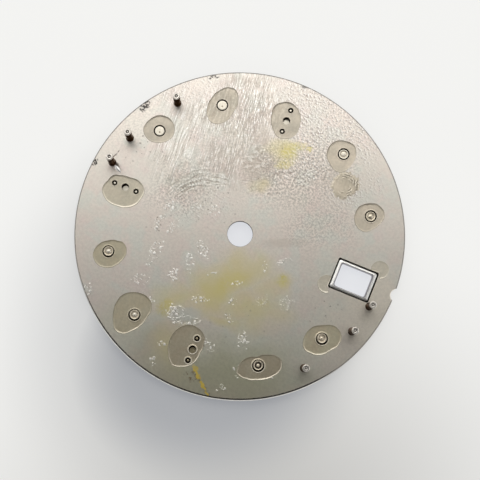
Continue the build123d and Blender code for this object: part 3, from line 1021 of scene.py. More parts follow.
def add_brush_lines(tree, place, wavy, colour, height):
    """The brushed areas, each with its own lines, and with bands of shade across them."""
    for rows, turn, fineness, length, seed, sparsity, light_strength, dark_strength in BRUSHED:
        mask = patches(tree, wavy, rows)
        lines = straight_lines(tree, place, turn, fineness, length, seed, sparsity)
        shade = span(tree, lines["Shade"], 0.36, 0.64, 0.84, 1.0)
        colour = blend_colour(tree, mask, colour, shade, "MULTIPLY")
        dark = calc(tree, "MULTIPLY", mask, lines["Dark"])
        colour = paint(tree, colour, dark, dark_strength, DARK_LINE)
        light = calc(tree, "MULTIPLY", mask, lines["Light"])
        colour = paint(tree, colour, light, light_strength, PALE_LINE)
        height = raised(tree, height, light, LINE_HEIGHT)
        height = raised(tree, height, dark, -LINE_HEIGHT)
    return colour, height


def add_grit(tree, place, beside, wavy, drift, colour):
    """Grit: noise stretched along the upper right rim, dark wherever it is low, with a painted
    highlight beside each dark place."""
    area = calc(tree, "MULTIPLY", patches(tree, wavy, SPECKLED),
                span(tree, drift, 0.4, 0.56, 0.75, 1.0))
    # Pale grit beside each dark place is a painted highlight
    for where, strength, tone in ((beside, 1.0, PALE_LINE), (place, 0.95, GRIT_BROWN)):
        flow = turned(tree, where, np.radians(VIEW_ROLL - GRIT_TURN))
        grit = noise(tree, vector_calc(tree, "MULTIPLY", flow, GRIT_STRETCH), 5.0, 4.0, 0.8)
        mask = calc(tree, "MULTIPLY", span(tree, grit, 0.49, 0.415), area)
        colour = paint(tree, colour, mask, strength, tone)
    return colour


def add_scuffs(tree, place, wavy, ragged, dulled, colour, height):
    """Dulled places, scuffs that run round a middle or level, and uneven rubbing."""
    colour = blend_colour(tree, dulled, colour, DULL_BROWN)
    for rows, lines in (
        (SCUFFS_ROUND, arc_lines(tree, place, SCUFFS_MIDDLE, SCUFFS_RADIUS, 5.6, 1.0, 5.0)),
        (SCUFFS_LEVEL, straight_lines(tree, ragged, 2, 5.0, 0.5, 7.0)),
    ):
        mask = patches(tree, wavy, rows, core=0.4)
        dark = calc(tree, "MULTIPLY", mask, lines["Dark"])
        colour = paint(tree, colour, dark, 0.7, SCUFF_BROWN)
        light = calc(tree, "MULTIPLY", mask, lines["Light"])
        colour = paint(tree, colour, light, 0.65, PALE_SCUFF)
        height = raised(tree, height, dark, -SCUFF_DEPTH)
    rub = span(tree, noise(tree, place, 5.6, 2.0, 0.7), 0.37, 0.63, 0.6, 1.24)
    rubbed = patches(tree, wavy, RUBBED, core=0.2)
    return blend_colour(tree, rubbed, colour, rub, "MULTIPLY"), height


def add_stains(tree, ragged, fine, yellow, colour):
    """Wide yellow stains, small yellow spots, and a streak of yellow paste with a brown edge."""
    colour = paint(tree, colour, yellow, 0.95, YELLOW_STAIN)
    spots = calc(tree, "MULTIPLY", patches(tree, ragged, YELLOW_SPOTS),
                 span(tree, fine, 0.38, 0.56, 0.3, 1.0))
    colour = paint(tree, colour, spots, 0.85, YELLOW_SPOT)
    edge = calc(tree, "MULTIPLY", patches(tree, ragged, STREAK_EDGE), span(tree, fine, 0.6, 0.42))
    colour = paint(tree, colour, edge, 0.85, STREAK_BROWN)
    streak = patches(tree, ragged, STREAK, core=0.5)
    return paint(tree, colour, streak, 0.95, YELLOW_PASTE)


def add_flakes(tree, place, beside, ragged, fine, colour, height):
    """A bare patch with a white outline, and fields of white flakes and crumbs, each flake with a
    painted shadow beside it."""
    bare = patches(tree, ragged, BARE_PATCH, core=0.5)
    colour = paint(tree, colour, bare, 0.6, BARE_SILVER)
    outline = calc(tree, "MULTIPLY", patches(tree, ragged, BARE_OUTLINE, output="Outline"),
                   span(tree, fine, 0.4, 0.56, 0.1, 1.0))
    fields = span(tree, patches(tree, ragged, WHITE_FLAKES, core=0.6), 0.25, 0.6)
    flakes, crumbs, flake_shadows = (
        use_group(tree, SPECKS, {"Place": where, **kind})["Mask"]
        for where, kind in ((place, FLAKES), (place, CRUMBS), (beside, FLAKES))
    )
    # Painted shadow beside each flake
    colour = paint(tree, colour, calc(tree, "MULTIPLY", flake_shadows, fields), 0.5, FLAKE_SHADE)
    flakes = calc(tree, "MULTIPLY", calc(tree, "MAXIMUM", flakes, crumbs), fields)
    flakes = calc(tree, "MAXIMUM", flakes, outline)
    colour = paint(tree, colour, flakes, 0.75, FLAKE_WHITE)
    return colour, raised(tree, height, flakes, FLAKE_HEIGHT)


def add_dark_marks(tree, place, wavy, colour, height):
    """Dark dots, and gouges beside one post."""
    dots = use_group(tree, SPECKS, {"Place": place, **DOTS})["Mask"]
    dots = calc(tree, "MULTIPLY", dots, patches(tree, wavy, DARK_SPECKS))
    colour = paint(tree, colour, dots, 0.75, DOT_BROWN)
    gouge = patches(tree, place, GOUGES)
    colour = paint(tree, colour, gouge, 0.9, GOUGE_BROWN)
    return colour, raised(tree, height, gouge, -GOUGE_DEPTH)


def add_rim_line(tree, place, ragged, grain, fine, colour):
    """A line of painted shade along the rim, with worn places. On the photograph's lower side it
    lies further in and is darker, with a line of painted highlight outside it."""
    radius = length_of(tree, place)
    lower = patches(tree, place, LOWER_EDGE, core=0.5)
    waver = calc(tree, "MULTIPLY", calc(tree, "SUBTRACT", grain, 0.5), RIM_LINE_WAVER)
    waver = raised(tree, waver, lower, RIM_LINE_SHIFT)
    line = span(tree, calc(tree, "ADD", radius, waver), DIAL_RADIUS - RIM_LINE_REACH,
                DIAL_RADIUS - RIM_BREAK)
    line = calc(tree, "MULTIPLY", line, span(tree, lower, 0.0, 1.0, 0.65, 1.0))
    worn = calc(tree, "MULTIPLY", patches(tree, ragged, RIM_WORN, core=0.6),
                span(tree, fine, 0.57, 0.5, 0.15, 1.0))
    colour = paint(tree, colour, calc(tree, "MAXIMUM", line, worn), 0.95, RIM_BLACK)
    # A line of painted highlight outside the rim on the photograph's lower side
    pale = span(tree, radius, DIAL_RADIUS - RIM_HIGHLIGHT_REACH, DIAL_RADIUS - RIM_BREAK)
    return paint(tree, colour, pale, lower, RIM_HIGHLIGHT)


def plate_back_material():
    """The bare back: silver-grey plating with brush lines, scuffs, stains, flakes and worn places
    at the rim. Painted shade darkens it towards the photograph's lower side and along the rim,
    painted highlights lie beside the grit and outside the rim's lower side, and painted shadows
    beside the flakes. Heights are in millimetres."""
    material, tree, shader = new_material("plate_back")
    place = dial_millimetres(tree)
    wavy = shifted(tree, place, 0.35, 3.4)
    ragged = shifted(tree, place, 2.4, 0.75, 3.0)
    beside = vector_calc(tree, "ADD", place, LIGHT_SIDE)
    grain = noise(tree, place, 4.0, 4.0, 0.66)
    fine = noise(tree, place, 5.5, 2.0, 0.6)
    cloud = noise(tree, wavy, 0.32, 4.0, 0.55)
    tint = put(tree, "ShaderNodeSeparateColor",
               {0: noise(tree, place, 0.55, 3.0, output="Color")}).outputs
    dulled = calc(tree, "MULTIPLY", patches(tree, ragged, DULLED), 0.55)
    yellow = calc(tree, "MULTIPLY", patches(tree, wavy, YELLOW_WIDE, core=0.0),
                  span(tree, cloud, 0.25, 0.6, 0.7, 1.0))
    colour = plate_tone(tree, wavy, cloud, tint, grain)
    height = calc(tree, "MULTIPLY", grain, GRAIN_HEIGHT)
    colour, height = add_brush_lines(tree, place, wavy, colour, height)
    colour = add_grit(tree, place, beside, wavy, tint["Blue"], colour)
    colour, height = add_scuffs(tree, place, wavy, ragged, dulled, colour, height)
    colour = add_stains(tree, ragged, fine, yellow, colour)
    colour, height = add_flakes(tree, place, beside, ragged, fine, colour, height)
    colour, height = add_dark_marks(tree, place, wavy, colour, height)
    colour = add_rim_line(tree, place, ragged, grain, fine, colour)
    rough = calc(tree, "ADD", calc(tree, "MULTIPLY", grain, 0.1), 0.33)
    rough = raised(tree, rough, calc(tree, "ADD", yellow, dulled), 0.06)
    fill(tree, shader, {"Base Color": colour, "Metallic": 1.0, "Roughness": rough,
                        "Normal": bumped(tree, height)})
    return material


# The other materials


def plate_front_material():
    """The front's finish: dark paint with a fine grain, and a plain track of minute strokes."""
    material, tree, shader = new_material("plate_front")
    place = dial_millimetres(tree)
    split = put(tree, "ShaderNodeSeparateXYZ", {0: place}).outputs
    radius = length_of(tree, place)
    turn = calc(tree, "ARCTAN2", split["Y"], split["X"])
    minute = calc(tree, "MULTIPLY", turn, 60 / (2 * np.pi))
    off = calc(tree, "ABSOLUTE", calc(tree, "SUBTRACT", minute, calc(tree, "ROUND", minute)))
    wide = calc(tree, "MULTIPLY", calc(tree, "MULTIPLY", off, 2 * np.pi / 60), radius)
    stroke = calc(tree, "LESS_THAN", wide, TRACK_STROKE_HALF)
    band = calc(tree, "MULTIPLY", calc(tree, "GREATER_THAN", radius, DIAL_RADIUS - TRACK_INNER),
                calc(tree, "LESS_THAN", radius, DIAL_RADIUS - TRACK_OUTER))
    grain = noise(tree, place, 9.0, 4.0)
    colour = paint(tree, blend_colour(tree, grain, FRONT_DARK, FRONT_GREY), stroke, band,
                   TRACK_WHITE)
    fill(tree, shader, {"Base Color": colour, "Roughness": span(tree, grain, 0.2, 0.8, 0.42, 0.55),
                        "Normal": bumped(tree, grain, 0.4, PAINT_GRAIN * METRES)})
    return material


def lacquer_material(name, light, dark, through):
    """Dried lacquer on metal: the grey of the plate, darker and yellower, with painted shade where
    the piece's shade is above nothing, and paler where it is below: a painted highlight on lips,
    rings and crests, and the thinner edge of the smear. The brush lines under it show through by
    that much, most where they are strongest."""
    material, tree, shader = new_material(name)
    place = dial_millimetres(tree)
    wavy = shifted(tree, place, 0.5, 2.0)
    cloud = noise(tree, place, 0.8, 4.0)
    grain = noise(tree, place, 4.5, 3.0)
    colour = blend_colour(tree, span(tree, cloud, 0.35, 0.65), light, dark)
    colour = blend_colour(tree, 1.0, colour, span(tree, grain, 0.32, 0.68, 0.95, 1.05), "MULTIPLY")
    lines = straight_lines(tree, place, 74, 4.6, 1.0, 2.0)
    shown = calc(tree, "ADD", patches(tree, wavy, BRUSHED_MIDDLE, core=0.4), through, clamp=True)
    for kind, strength, tone in (("Dark", 0.42, COVERED_DARK), ("Light", 0.35, COVERED_LIGHT)):
        colour = paint(tree, colour, calc(tree, "MULTIPLY", shown, lines[kind]), strength, tone)
    edge = put(tree, "ShaderNodeAttribute", {}, attribute_name="shade").outputs["Fac"]
    # Painted shade where the attribute is above nothing; below it a painted highlight, and the
    # smear's paler thin edge
    for strength, tone in ((EDGE_STRENGTH, LACQUER_SHADE), (-EDGE_STRENGTH, LACQUER_PALE)):
        share = calc(tree, "MULTIPLY", edge, strength, clamp=True)
        colour = blend_colour(tree, share, colour, tone)
    height = raised(tree, calc(tree, "MULTIPLY", cloud, LACQUER_SWELL), grain, LACQUER_GRAIN)
    fill(tree, shader, {
        "Base Color": colour, "Metallic": 1.0, "Roughness": span(tree, cloud, 0.3, 0.7, 0.42, 0.5),
        "Coat Weight": 0.12, "Coat Roughness": 0.2, "Normal": bumped(tree, height)})
    return material


def turned_metal_material(name, light, dark, rough_low, rough_high, grain_size, pits=0.002,
                          painted_shade=False, glancing=(1, 1, 1, 1)):
    """Turned or drawn metal: two greys mixed by noise, with fine pits of that depth, and the tint
    it has at a glancing angle. Painted shade is dark from every side and has no shine."""
    material, tree, shader = new_material(name)
    mottle = noise(tree, dial_millimetres(tree), grain_size, 4.0, 0.6)
    fill(tree, shader, {
        "Base Color": blend_colour(tree, span(tree, mottle, 0.35, 0.65), light, dark),
        "Metallic": 0.0 if painted_shade else 1.0, "Specular IOR Level": 0.1 if painted_shade else 0.5,
        "Specular Tint": glancing,
        "Roughness": span(tree, mottle, 0.3, 0.7, rough_low, rough_high),
        "Normal": bumped(tree, calc(tree, "MULTIPLY", mottle, pits))})
    return material


def lume_material():
    """Luminous filling: pale greenish paste with a sandy surface."""
    material, tree, shader = new_material("luminous_filling")
    grain = noise(tree, dial_millimetres(tree), 14.0, 3.0)
    colour = blend_colour(tree, grain, PASTE_DARK, PASTE_PALE)
    fill(tree, shader, {"Base Color": colour, "Roughness": 0.75,
                        "Normal": bumped(tree, grain, 0.8, PASTE_GRAIN * METRES)})
    return material


PLATE_BACK = plate_back_material()
PLATE_FRONT = plate_front_material()
LACQUERS = {}
for name, spots, light, dark, through in LACQUER_ROWS:
    material = lacquer_material(name, light, dark, through)
    LACQUERS.update((spot, material) for spot in spots)
PLATE_EDGE = turned_metal_material(
    "plate_edge", (0.5, 0.47, 0.42, 1), (0.38, 0.35, 0.31, 1), 0.35, 0.45, 3.0)
MARKER_METAL = turned_metal_material(
    "marker_metal", (0.86, 0.84, 0.8, 1), (0.79, 0.765, 0.71, 1), 0.2, 0.22, 5.0, 0.0005)
FRAME_METAL = turned_metal_material(
    "frame_metal", (0.97, 0.96, 0.94, 1), (0.9, 0.89, 0.86, 1), 0.36, 0.38, 4.0, 0.0005)
# The posts' dark brown, darker still at a glancing angle, is partly painted shade
FOOT_METAL = turned_metal_material(
    "foot_metal", (0.14, 0.105, 0.085, 1), (0.035, 0.025, 0.02, 1), 0.18, 0.34, 4.0, 0.006,
    glancing=(0.4, 0.32, 0.27, 1))
FOOT_END_METAL = turned_metal_material(
    "foot_end_metal", (0.8, 0.76, 0.7, 1), (0.62, 0.58, 0.53, 1), 0.25, 0.35, 6.0)
# Painted shade: near-black, for dark grooves, pits and gaps, the long markers' backs round their
# spots, pin shanks, and the sides of feet in their holes
PAINTED_SHADE_DARK = turned_metal_material(
    "painted_shade_dark", (0.08, 0.062, 0.045, 1), (0.04, 0.031, 0.022, 1), 0.35, 0.5, 6.0, painted_shade=True)
# Painted shade on the walls of the plate's holes
HOLE_SHADE = turned_metal_material(
    "hole_wall", (0.04, 0.03, 0.02, 1), (0.02, 0.015, 0.01, 1), 0.45, 0.6, 3.0, painted_shade=True)
CREAM_METAL = turned_metal_material(
    "marker_foot_metal", (0.84, 0.79, 0.68, 1), (0.77, 0.72, 0.62, 1), 0.36, 0.44, 6.0)
TAN_METAL = turned_metal_material(
    "tarnished_foot_metal", (0.86, 0.77, 0.62, 1), (0.74, 0.66, 0.52, 1), 0.3, 0.4, 6.0)
# Painted shade in the feet's grooves and in the pits of the flat feet
GROOVE_SHADE = turned_metal_material(
    "groove_painted_shade", (0.58, 0.51, 0.4, 1), (0.5, 0.44, 0.35, 1), 0.35, 0.45, 6.0)
# A shaded copy of the markers' pale metal, for the lit spot and pin ends of the marker at 12
SHADED_METAL = turned_metal_material(
    "shaded_marker_back", (0.66, 0.58, 0.4, 1), (0.5, 0.43, 0.28, 1), 0.3, 0.4, 6.0)
# Painted shade on the window frame's bevel and through its opening
BEVEL_SHADE = turned_metal_material(
    "frame_bevel_painted_shade", (0.34, 0.325, 0.335, 1), (0.27, 0.255, 0.265, 1), 0.28, 0.32, 4.0)
SLIVER_METAL = turned_metal_material(
    "bright_sliver", (1.0, 0.99, 0.97, 1), (0.95, 0.93, 0.9, 1), 0.3, 0.4, 4.0, 0.0005)
LUME = lume_material()
# The metals of each foot's lip, groove, end and pit; the darker groove and pit metals are
# painted shade
FOOT_FINISHES = {
    hour: finish
    for hours, finish in (
        ((7, 8), (CREAM_METAL, CREAM_METAL, CREAM_METAL, GROOVE_SHADE)),
        ((5,), (CREAM_METAL, GROOVE_SHADE, CREAM_METAL, PAINTED_SHADE_DARK)),
        ((4,), (TAN_METAL, GROOVE_SHADE, TAN_METAL, PAINTED_SHADE_DARK)),
        ((10, 11), (TAN_METAL, GROOVE_SHADE, CREAM_METAL, PAINTED_SHADE_DARK)),
        ((2,), (TAN_METAL, GROOVE_SHADE, TAN_METAL, PAINTED_SHADE_DARK)),
        ((1,), (TAN_METAL, PAINTED_SHADE_DARK, TAN_METAL, PAINTED_SHADE_DARK)),
    )
    for hour in hours
}


# The plate


def rim_loop(inset):
    """The rim, drawn in by inset: a circle, and where a ray from the centre meets the notch's
    circle first, that meeting point."""
    angles = even_angles(RIM_POINTS)
    radius = np.full(RIM_POINTS, DIAL_RADIUS - inset)
    away = DIAL_RADIUS + NOTCH_RADIUS - NOTCH_DEPTH
    lead = np.mod(angles - np.radians(NOTCH_TURN) + np.pi, 2 * np.pi) - np.pi
    under = (NOTCH_RADIUS + inset) ** 2 - (away * np.sin(lead)) ** 2
    meets = (under > 0) & (np.abs(lead) < np.radians(NOTCH_NEAR))
    near = away * np.cos(lead) - np.sqrt(np.where(meets, under, 0))
    radius = np.where(meets, np.minimum(radius, near), radius)
    return radius[:, None] * headings(angles)


def marker_holes(hour):
    """The holes at a marker, as (middle, radius, points): round its foot, or round the sight hole
    and the pins beside it."""
    if hour in ROUND_HOURS:
        return [(marker_place(hour), FOOT_HOLE_RADIUS, FOOT_HOLE_POINTS)]
    sight = (marker_place(hour), SIGHT_HOLE_RADIUS, RING_POINTS)
    return [sight] + [(pin, PIN_HOLE_RADIUS, PIN_POINTS) for pin in pin_places(hour)]


def hole_wall(loop_at):
    """A hole's wall through the plate, with both its edges broken. loop_at(out) is the hole's
    loop, grown by out."""
    middle = HOLE_BREAK * BREAK_MIDDLE
    rows = ((HOLE_BREAK, 0.0), (middle, -middle), (0.0, -HOLE_BREAK),
            (0.0, FRONT_Z + HOLE_BREAK), (middle, FRONT_Z + middle), (HOLE_BREAK, FRONT_Z))
    return ring_walls([lift(loop_at(out), z) for out, z in rows])


def make_plate():
    """Back and front faces, the rim, and the wall of every hole."""
    circles = [((0, 0), CENTRE_HOLE_RADIUS, CENTRE_HOLE_POINTS)]
    for hour in ROUND_HOURS + LONG_HOURS:
        circles += marker_holes(hour)
    holes = [
        lambda out, c=centre, r=radius, n=points: circle_loop(c, r + out, n)
        for centre, radius, points in circles
    ]
    holes.append(lambda out: box_loop(
        (CUTOUT_HALF[0] + out, CUTOUT_HALF[1] + out), CUTOUT_CORNER + out))
    walls = [hole_wall(loop_at) for loop_at in holes]
    edges = [loop_at(HOLE_BREAK) for loop_at in holes]
    middle = RIM_BREAK * BREAK_MIDDLE
    rim = [lift(rim_loop(inset), z) for inset, z in (
        (RIM_BREAK, 0.0), (middle, -middle), (0.0, -RIM_BREAK),
        (0.0, FRONT_Z + FRONT_RIM_BREAK), (FRONT_RIM_BREAK, FRONT_Z))]
    rims = [flipped(ring_walls(rings)) for rings in (rim[:3], rim[2:])]
    back = flat_fill(rim_loop(RIM_BREAK), edges, 0.0)
    front = flat_fill(rim_loop(FRONT_RIM_BREAK), edges, FRONT_Z, up=False)
    # The hole walls are painted near-black as shade
    make_piece("plate_shell", walls + rims + [back, front],
               [PLATE_BACK, PLATE_FRONT, PLATE_EDGE, HOLE_SHADE], "dial_plate",
               [3] * len(walls) + [0, 2, 0, 1])


# Lacquer


def sines(angles, seed, rows):
    """A sum of sines round a drop: size times the sine of so many waves of the angle, shifted by
    so many times the seed."""
    return sum(size * np.sin(waves * angles + shift * seed) for size, waves, shift in rows)


def drop_loop(centre, turn, shares, reach, inset, cut_back=None):
    """A drop's outline drawn in: its reach against the angle, with a slight waver of three sines,
    less the inset. Where cut_back is given, a ray that enters the date window ends there."""
    angles = even_angles(DROP_POINTS)
    radius = reach * smooth_reach(shares, angles) * (1 + sines(angles, turn, OUTLINE_WAVER))
    ray = headings(angles + np.radians(turn))
    if cut_back is not None:
        radius = np.minimum(radius, window_distance(centre, ray, cut_back))
    radius = np.maximum(radius - inset, DROP_LEAST_RADIUS)
    return np.asarray(centre) + radius[:, None] * ray


def window_distance(centre, ray, cut_back):
    """How far each ray runs from the centre before it enters the window, grown by cut_back: the
    later of its entries into the window's two pairs of sides, if that is before it leaves them.
    A ray that misses the window gets a distance past everything."""
    away = np.asarray(DATE_CENTRE) - np.asarray(centre)
    half = np.asarray(CUTOUT_HALF) + cut_back
    slow = np.where(np.abs(ray) < TINY, TINY, ray)
    first, second = (away - half) / slow, (away + half) / slow
    entry = np.minimum(first, second).max(axis=1)
    leaving = np.maximum(first, second).min(axis=1)
    return np.where((entry < leaving) & (entry > 0), entry, PAST_ALL)


def lacquer_ring(centre, radius, strength):
    """The raised ring of lacquer round a hole and its wall down into the hole, with how dark each
    of their points is: the wall is painted dark as shade, and the ring has painted shade at its
    inner edge and is palest, with a painted highlight, where it faces the photograph's lower side."""
    rows = [lift(circle_loop(centre, radius + out, RING_POINTS), FILM_HEIGHT + rise * strength)
            for out, rise in MENISCUS_SECTION]
    skirt = [rows[-1], lift(rows[-1][:, :2], SKIRT_FOOT_Z)]
    even, change = MENISCUS_FACING
    facing = even - change * np.sin(even_angles(RING_POINTS) + np.radians(VIEW_ROLL))
    gleam = np.outer(MENISCUS_GLEAM, facing * strength).ravel()
    # The wall down into the hole is painted fully as shade
    shades = [np.repeat(MENISCUS_SHADE, RING_POINTS) - gleam, np.ones(2 * RING_POINTS)]
    return [ring_walls(rows), ring_walls(skirt, smooth=False)], shades, rows[0][:, :2]


def make_drop(name, centre, turn, shares, reach, strength, holes, node, material, cut_back=None):
    """A dried drop: a low wall, a lip that runs down to the film, the flat film, and a raised ring
    of lacquer round every hole. The lip's strength goes from that of the photograph's upper side to
    that of its lower side as the sine of the direction, and the edge's painted shade, strongest on
    the upper side, and its painted highlight, strongest on the lower side, go the same way."""
    upper, lower, ring_strength = strength
    angles = even_angles(DROP_POINTS)
    in_picture = angles + np.radians(turn + VIEW_ROLL)
    uneven = (upper + lower) / 2 + (upper - lower) / 2 * np.sin(in_picture)
    uneven *= 1 + sines(angles, turn, LIP_WAVER)
    rings = [
        lift(drop_loop(centre, turn, shares, reach, inset, cut_back),
             film * FILM_HEIGHT + lip * LIP_HEIGHT * uneven)
        for inset, film, lip in LIP_SECTION
    ]
    facing = np.clip(0.5 + EDGE_CONTRAST * np.sin(in_picture - np.radians(EDGE_TURN)), 0, 1)
    shade = np.outer(EDGE_SHADE, facing * upper) - np.outer(EDGE_GLEAM, (1 - facing) * lower / 2)
    parts = [ring_walls(rings[:2], smooth=False), ring_walls(rings[1:])]
    shades = [shade[:2].ravel(), shade[1:].ravel()]
    edges = []
    for middle, radius, _ in holes:
        ring_parts, ring_shades, edge = lacquer_ring(middle, radius, ring_strength)
        parts += ring_parts
        shades += ring_shades
        edges.append(edge)
    parts.append(flat_fill(rings[-1][:, :2], edges, FILM_HEIGHT))
    shades.append(np.zeros(len(parts[-1][0])))
    make_piece(name, parts, [material], node, shades=shades)


def make_smear(material):
    """The loose smear: rings that shrink to its middle. Its height rises from nothing at the edge
    to the film's, and wrinkles that follow the edge run over one side of it, in patches. A
    wrinkle has a painted highlight on its crest and painted shade in its hollow."""
    angles = even_angles(DROP_POINTS)
    outline = drop_loop(SMEAR_PLACE, SMEAR_TURN, SMEAR_SHARES, SMEAR_REACH, 0.0)
    outline -= np.asarray(SMEAR_PLACE)
    ragged = sines(angles, 1, SMEAR_WAVER)
    swing = sines(angles, 1, WRINKLE_SWING)
    side = 0.5 + 0.5 * np.cos(angles - np.radians(WRINKLE_TURN))
    rings, shades = [], []
    for share in 1 - np.linspace(0, 1, SMEAR_RINGS, endpoint=False):
        rise = np.clip((1 - share) / SMEAR_SLOPE, 0, 1)
        eased = rise**2 * (3 - 2 * rise)
        wave = np.sin(WRINKLE_WAVES * share + swing)
        crest, hollow = np.clip(wave, 0, 1), np.clip(-wave, 0, 1)
        patchy = np.clip(WRINKLE_COVER + np.sin(5 * angles + 7 * share), 0, 1)
        strength = side * patchy * np.clip(share / WRINKLE_CALM - 1.0, 0, 1)
        height = SMEAR_EDGE_Z + SMEAR_HEIGHT * eased + WRINKLE_HEIGHT * crest * strength * rise
        out = share * (1 + ragged * share**3)
        rings.append(lift(np.asarray(SMEAR_PLACE) + outline * out[:, None], height))
        shades.append((hollow - CREST_GLEAM * crest) * strength
                      - CALM_GLEAM * (1 - rise) * (1 - side))
    parts = [ring_walls(rings), fan(rings[-1], (*SMEAR_PLACE, SMEAR_EDGE_Z + SMEAR_HEIGHT))]
    shades = [np.concatenate(shades), np.zeros(len(parts[1][0]))]
    make_piece("smear", parts, [material], "lacquer_smear", shades=shades)


def make_lacquer():
    """Every drop, and the smear."""
    for hour, shares in DROP_SHARES.items():
        make_drop(f"drop_{hour:02d}", marker_place(hour), hour_turn(hour), shares, DROP_REACH,
                  LIP_STRENGTH[hour], marker_holes(hour), f"lacquer_{hour:02d}", LACQUERS[hour])
    for side, centre in DATE_DROP_PLACES.items():
        make_drop(f"drop_date_{side}", centre, DATE_TURN, EVEN_SHARES, DATE_DROP_REACH,
                  DATE_LIP_STRENGTH[side], [], f"lacquer_date_{side}", LACQUERS[side],
                  cut_back=DATE_DROP_CUT_BACK)
    make_smear(LACQUERS["smear"])


# Markers


def make_round_marker(hour):
    """A turned cup whose foot ends in a lip, a groove and a dome. The dome falls from its middle to
    the groove as the square of the radius. A flat foot has a pit beside its middle instead. The
    foot's side down in its hole is painted dark as shade, and darker grooves and pits are painted
    shade."""
    groove, pit, dome_radius = FOOT_MARKS[hour]
    floor_z, front, top = FRONT_Z - MARKER_FLOOR, MARKER_FRONT_Z, FOOT_END_Z
    bore = ROUND_RADIUS - MARKER_WALL
    middle = MARKER_BREAK * BREAK_MIDDLE
    profile = [
        (bore, floor_z), (bore, front + CUP_LIP), (bore + CUP_LIP, front),
        (ROUND_RADIUS - MARKER_BREAK, front), (ROUND_RADIUS - middle, front + middle),
        (ROUND_RADIUS, front + MARKER_BREAK), (ROUND_RADIUS, FRONT_Z),
    ]
    lip = [(FOOT_RADIUS - inset, top - drop) for inset, drop in FOOT_LIP_SECTION]
    shoulder = [(ROUND_RADIUS, FRONT_Z), (FOOT_RADIUS, FRONT_Z), lip[0]]
    centre = marker_place(hour)
    cup = lathe(profile, centre, tips=(floor_z, None))
    place = centre + polar(FOOT_PLAY if hour in LOW_HOURS else 0.0, 90 - VIEW_ROLL)
    if pit:
        ditch = [(FOOT_LIP, top), (dome_radius, top)]
        beside = place + polar(FOOT_PIT_SHIFT, -90 - VIEW_ROLL)
        rims = [circle_loop(place, dome_radius, TURNED_POINTS),
                circle_loop(beside, FOOT_PIT, TURNED_POINTS)]
        end = [ring_walls([lift(rim, top) for rim in rims], smooth=False)]
        floor = (FOOT_PIT * PIT_FLOOR[0], top - pit * PIT_FLOOR[1])
        hollow = lathe([(FOOT_PIT, top), floor], beside, tips=(None, top - pit))
    else:
        fall = DOME_FOOT * groove
        ditch = [(FOOT_LIP, top), (FOOT_LIP - GROOVE_STEP, top - GROOVE_SHOULDER * groove),
                 (FOOT_LIP - 2 * GROOVE_STEP, top - groove),
                 (dome_radius + GROOVE_STEP, top - groove), (dome_radius, top - fall)]
        dome = [(radius, top - fall * (radius / dome_radius) ** 2)
                for radius in np.linspace(dome_radius, DOME_TIP_RADIUS, DOME_RINGS)]
        end = lathe(dome, place, tips=(None, top))
        hollow = []
    # The foot's side down in its hole is painted near-black as shade
    groups = (cup, lathe(lip, place), lathe(ditch, place), end, hollow, lathe(shoulder, place))
    make_piece(f"marker_{hour:02d}", [part for group in groups for part in group],
               [MARKER_METAL, *FOOT_FINISHES[hour], PAINTED_SHADE_DARK], f"hour_marker_{hour:02d}",
               [i for i, group in enumerate(groups) for _ in group])


def long_corners(hour):
    """A long marker's corners on its own axes, with x outwards: a baton, or the triangle."""
    if hour == TRIANGLE_HOUR:
        half, base, nose = TRIANGLE_LENGTH / 2, TRIANGLE_BASE / 2, TRIANGLE_NOSE / 2
        return [(half, -base), (half, base), (-half, nose), (-half, -nose)]
    half, side = BATON_LENGTH / 2, BATON_WIDTH / 2
    return [(half, -side), (half, side), (-half, side), (-half, -side)]


def make_long_marker(hour):
    """A pressed cup with a bevelled edge, two pins with rounded ends, and a painted lit spot on its
    back, seen through the sight hole; round the spot the back and the pins' shanks are painted dark
    as shade."""
    turn = np.radians(hour_turn(hour))
    axes = np.array([[np.cos(turn), np.sin(turn)], [-np.sin(turn), np.cos(turn)]])
    middle = marker_place(hour)

    def loop(inset):
        corners = inset_corners(long_corners(hour), inset)
        return middle + rounded_loop(corners, LONG_CORNER, LONG_CORNER_POINTS) @ axes

    floor_z, front = FRONT_Z - MARKER_FLOOR, MARKER_FRONT_Z
    rows = ((MARKER_WALL, floor_z), (MARKER_WALL, front), (LONG_BEVEL, front),
            (0.0, front + LONG_BEVEL), (0.0, FRONT_Z))
    cup = ring_walls([lift(loop(inset), z) for inset, z in rows], smooth=False)
    # A lit spot painted on the marker's back, shifted towards the photograph's lower side; round it
    # the back is painted as shade
    spot = circle_loop(middle + polar(LIT_SPOT_SHIFT, -90 - VIEW_ROLL), LIT_SPOT_RADIUS, RING_POINTS)
    parts = [cup, flat_fill(loop(MARKER_WALL), [], floor_z, up=False),
             flat_fill(loop(0.0), [spot], FRONT_Z), flat_fill(spot, [], FRONT_Z)]
    slots = [0, 0, 3, 2]
    section = [(radius, PIN_END_Z - drop) for radius, drop in PIN_SECTION]
    for pin in pin_places(hour):
        shank = lathe([(PIN_RADIUS, FRONT_Z)] + section[:3], pin, count=PIN_POINTS)
        end = lathe(section[2:], pin, count=PIN_POINTS, tips=(None, PIN_END_Z))
        parts += shank + end
        slots += [3] * len(shank) + [1] * len(end)
    # The metal of the painted lit spot and of the pins' ends: a shaded copy at 12
    lit_metal = SHADED_METAL if hour == TRIANGLE_HOUR else CREAM_METAL
    make_piece(f"marker_{hour:02d}", parts, [MARKER_METAL, lit_metal, lit_metal, PAINTED_SHADE_DARK],
               f"hour_marker_{hour:02d}", slots)


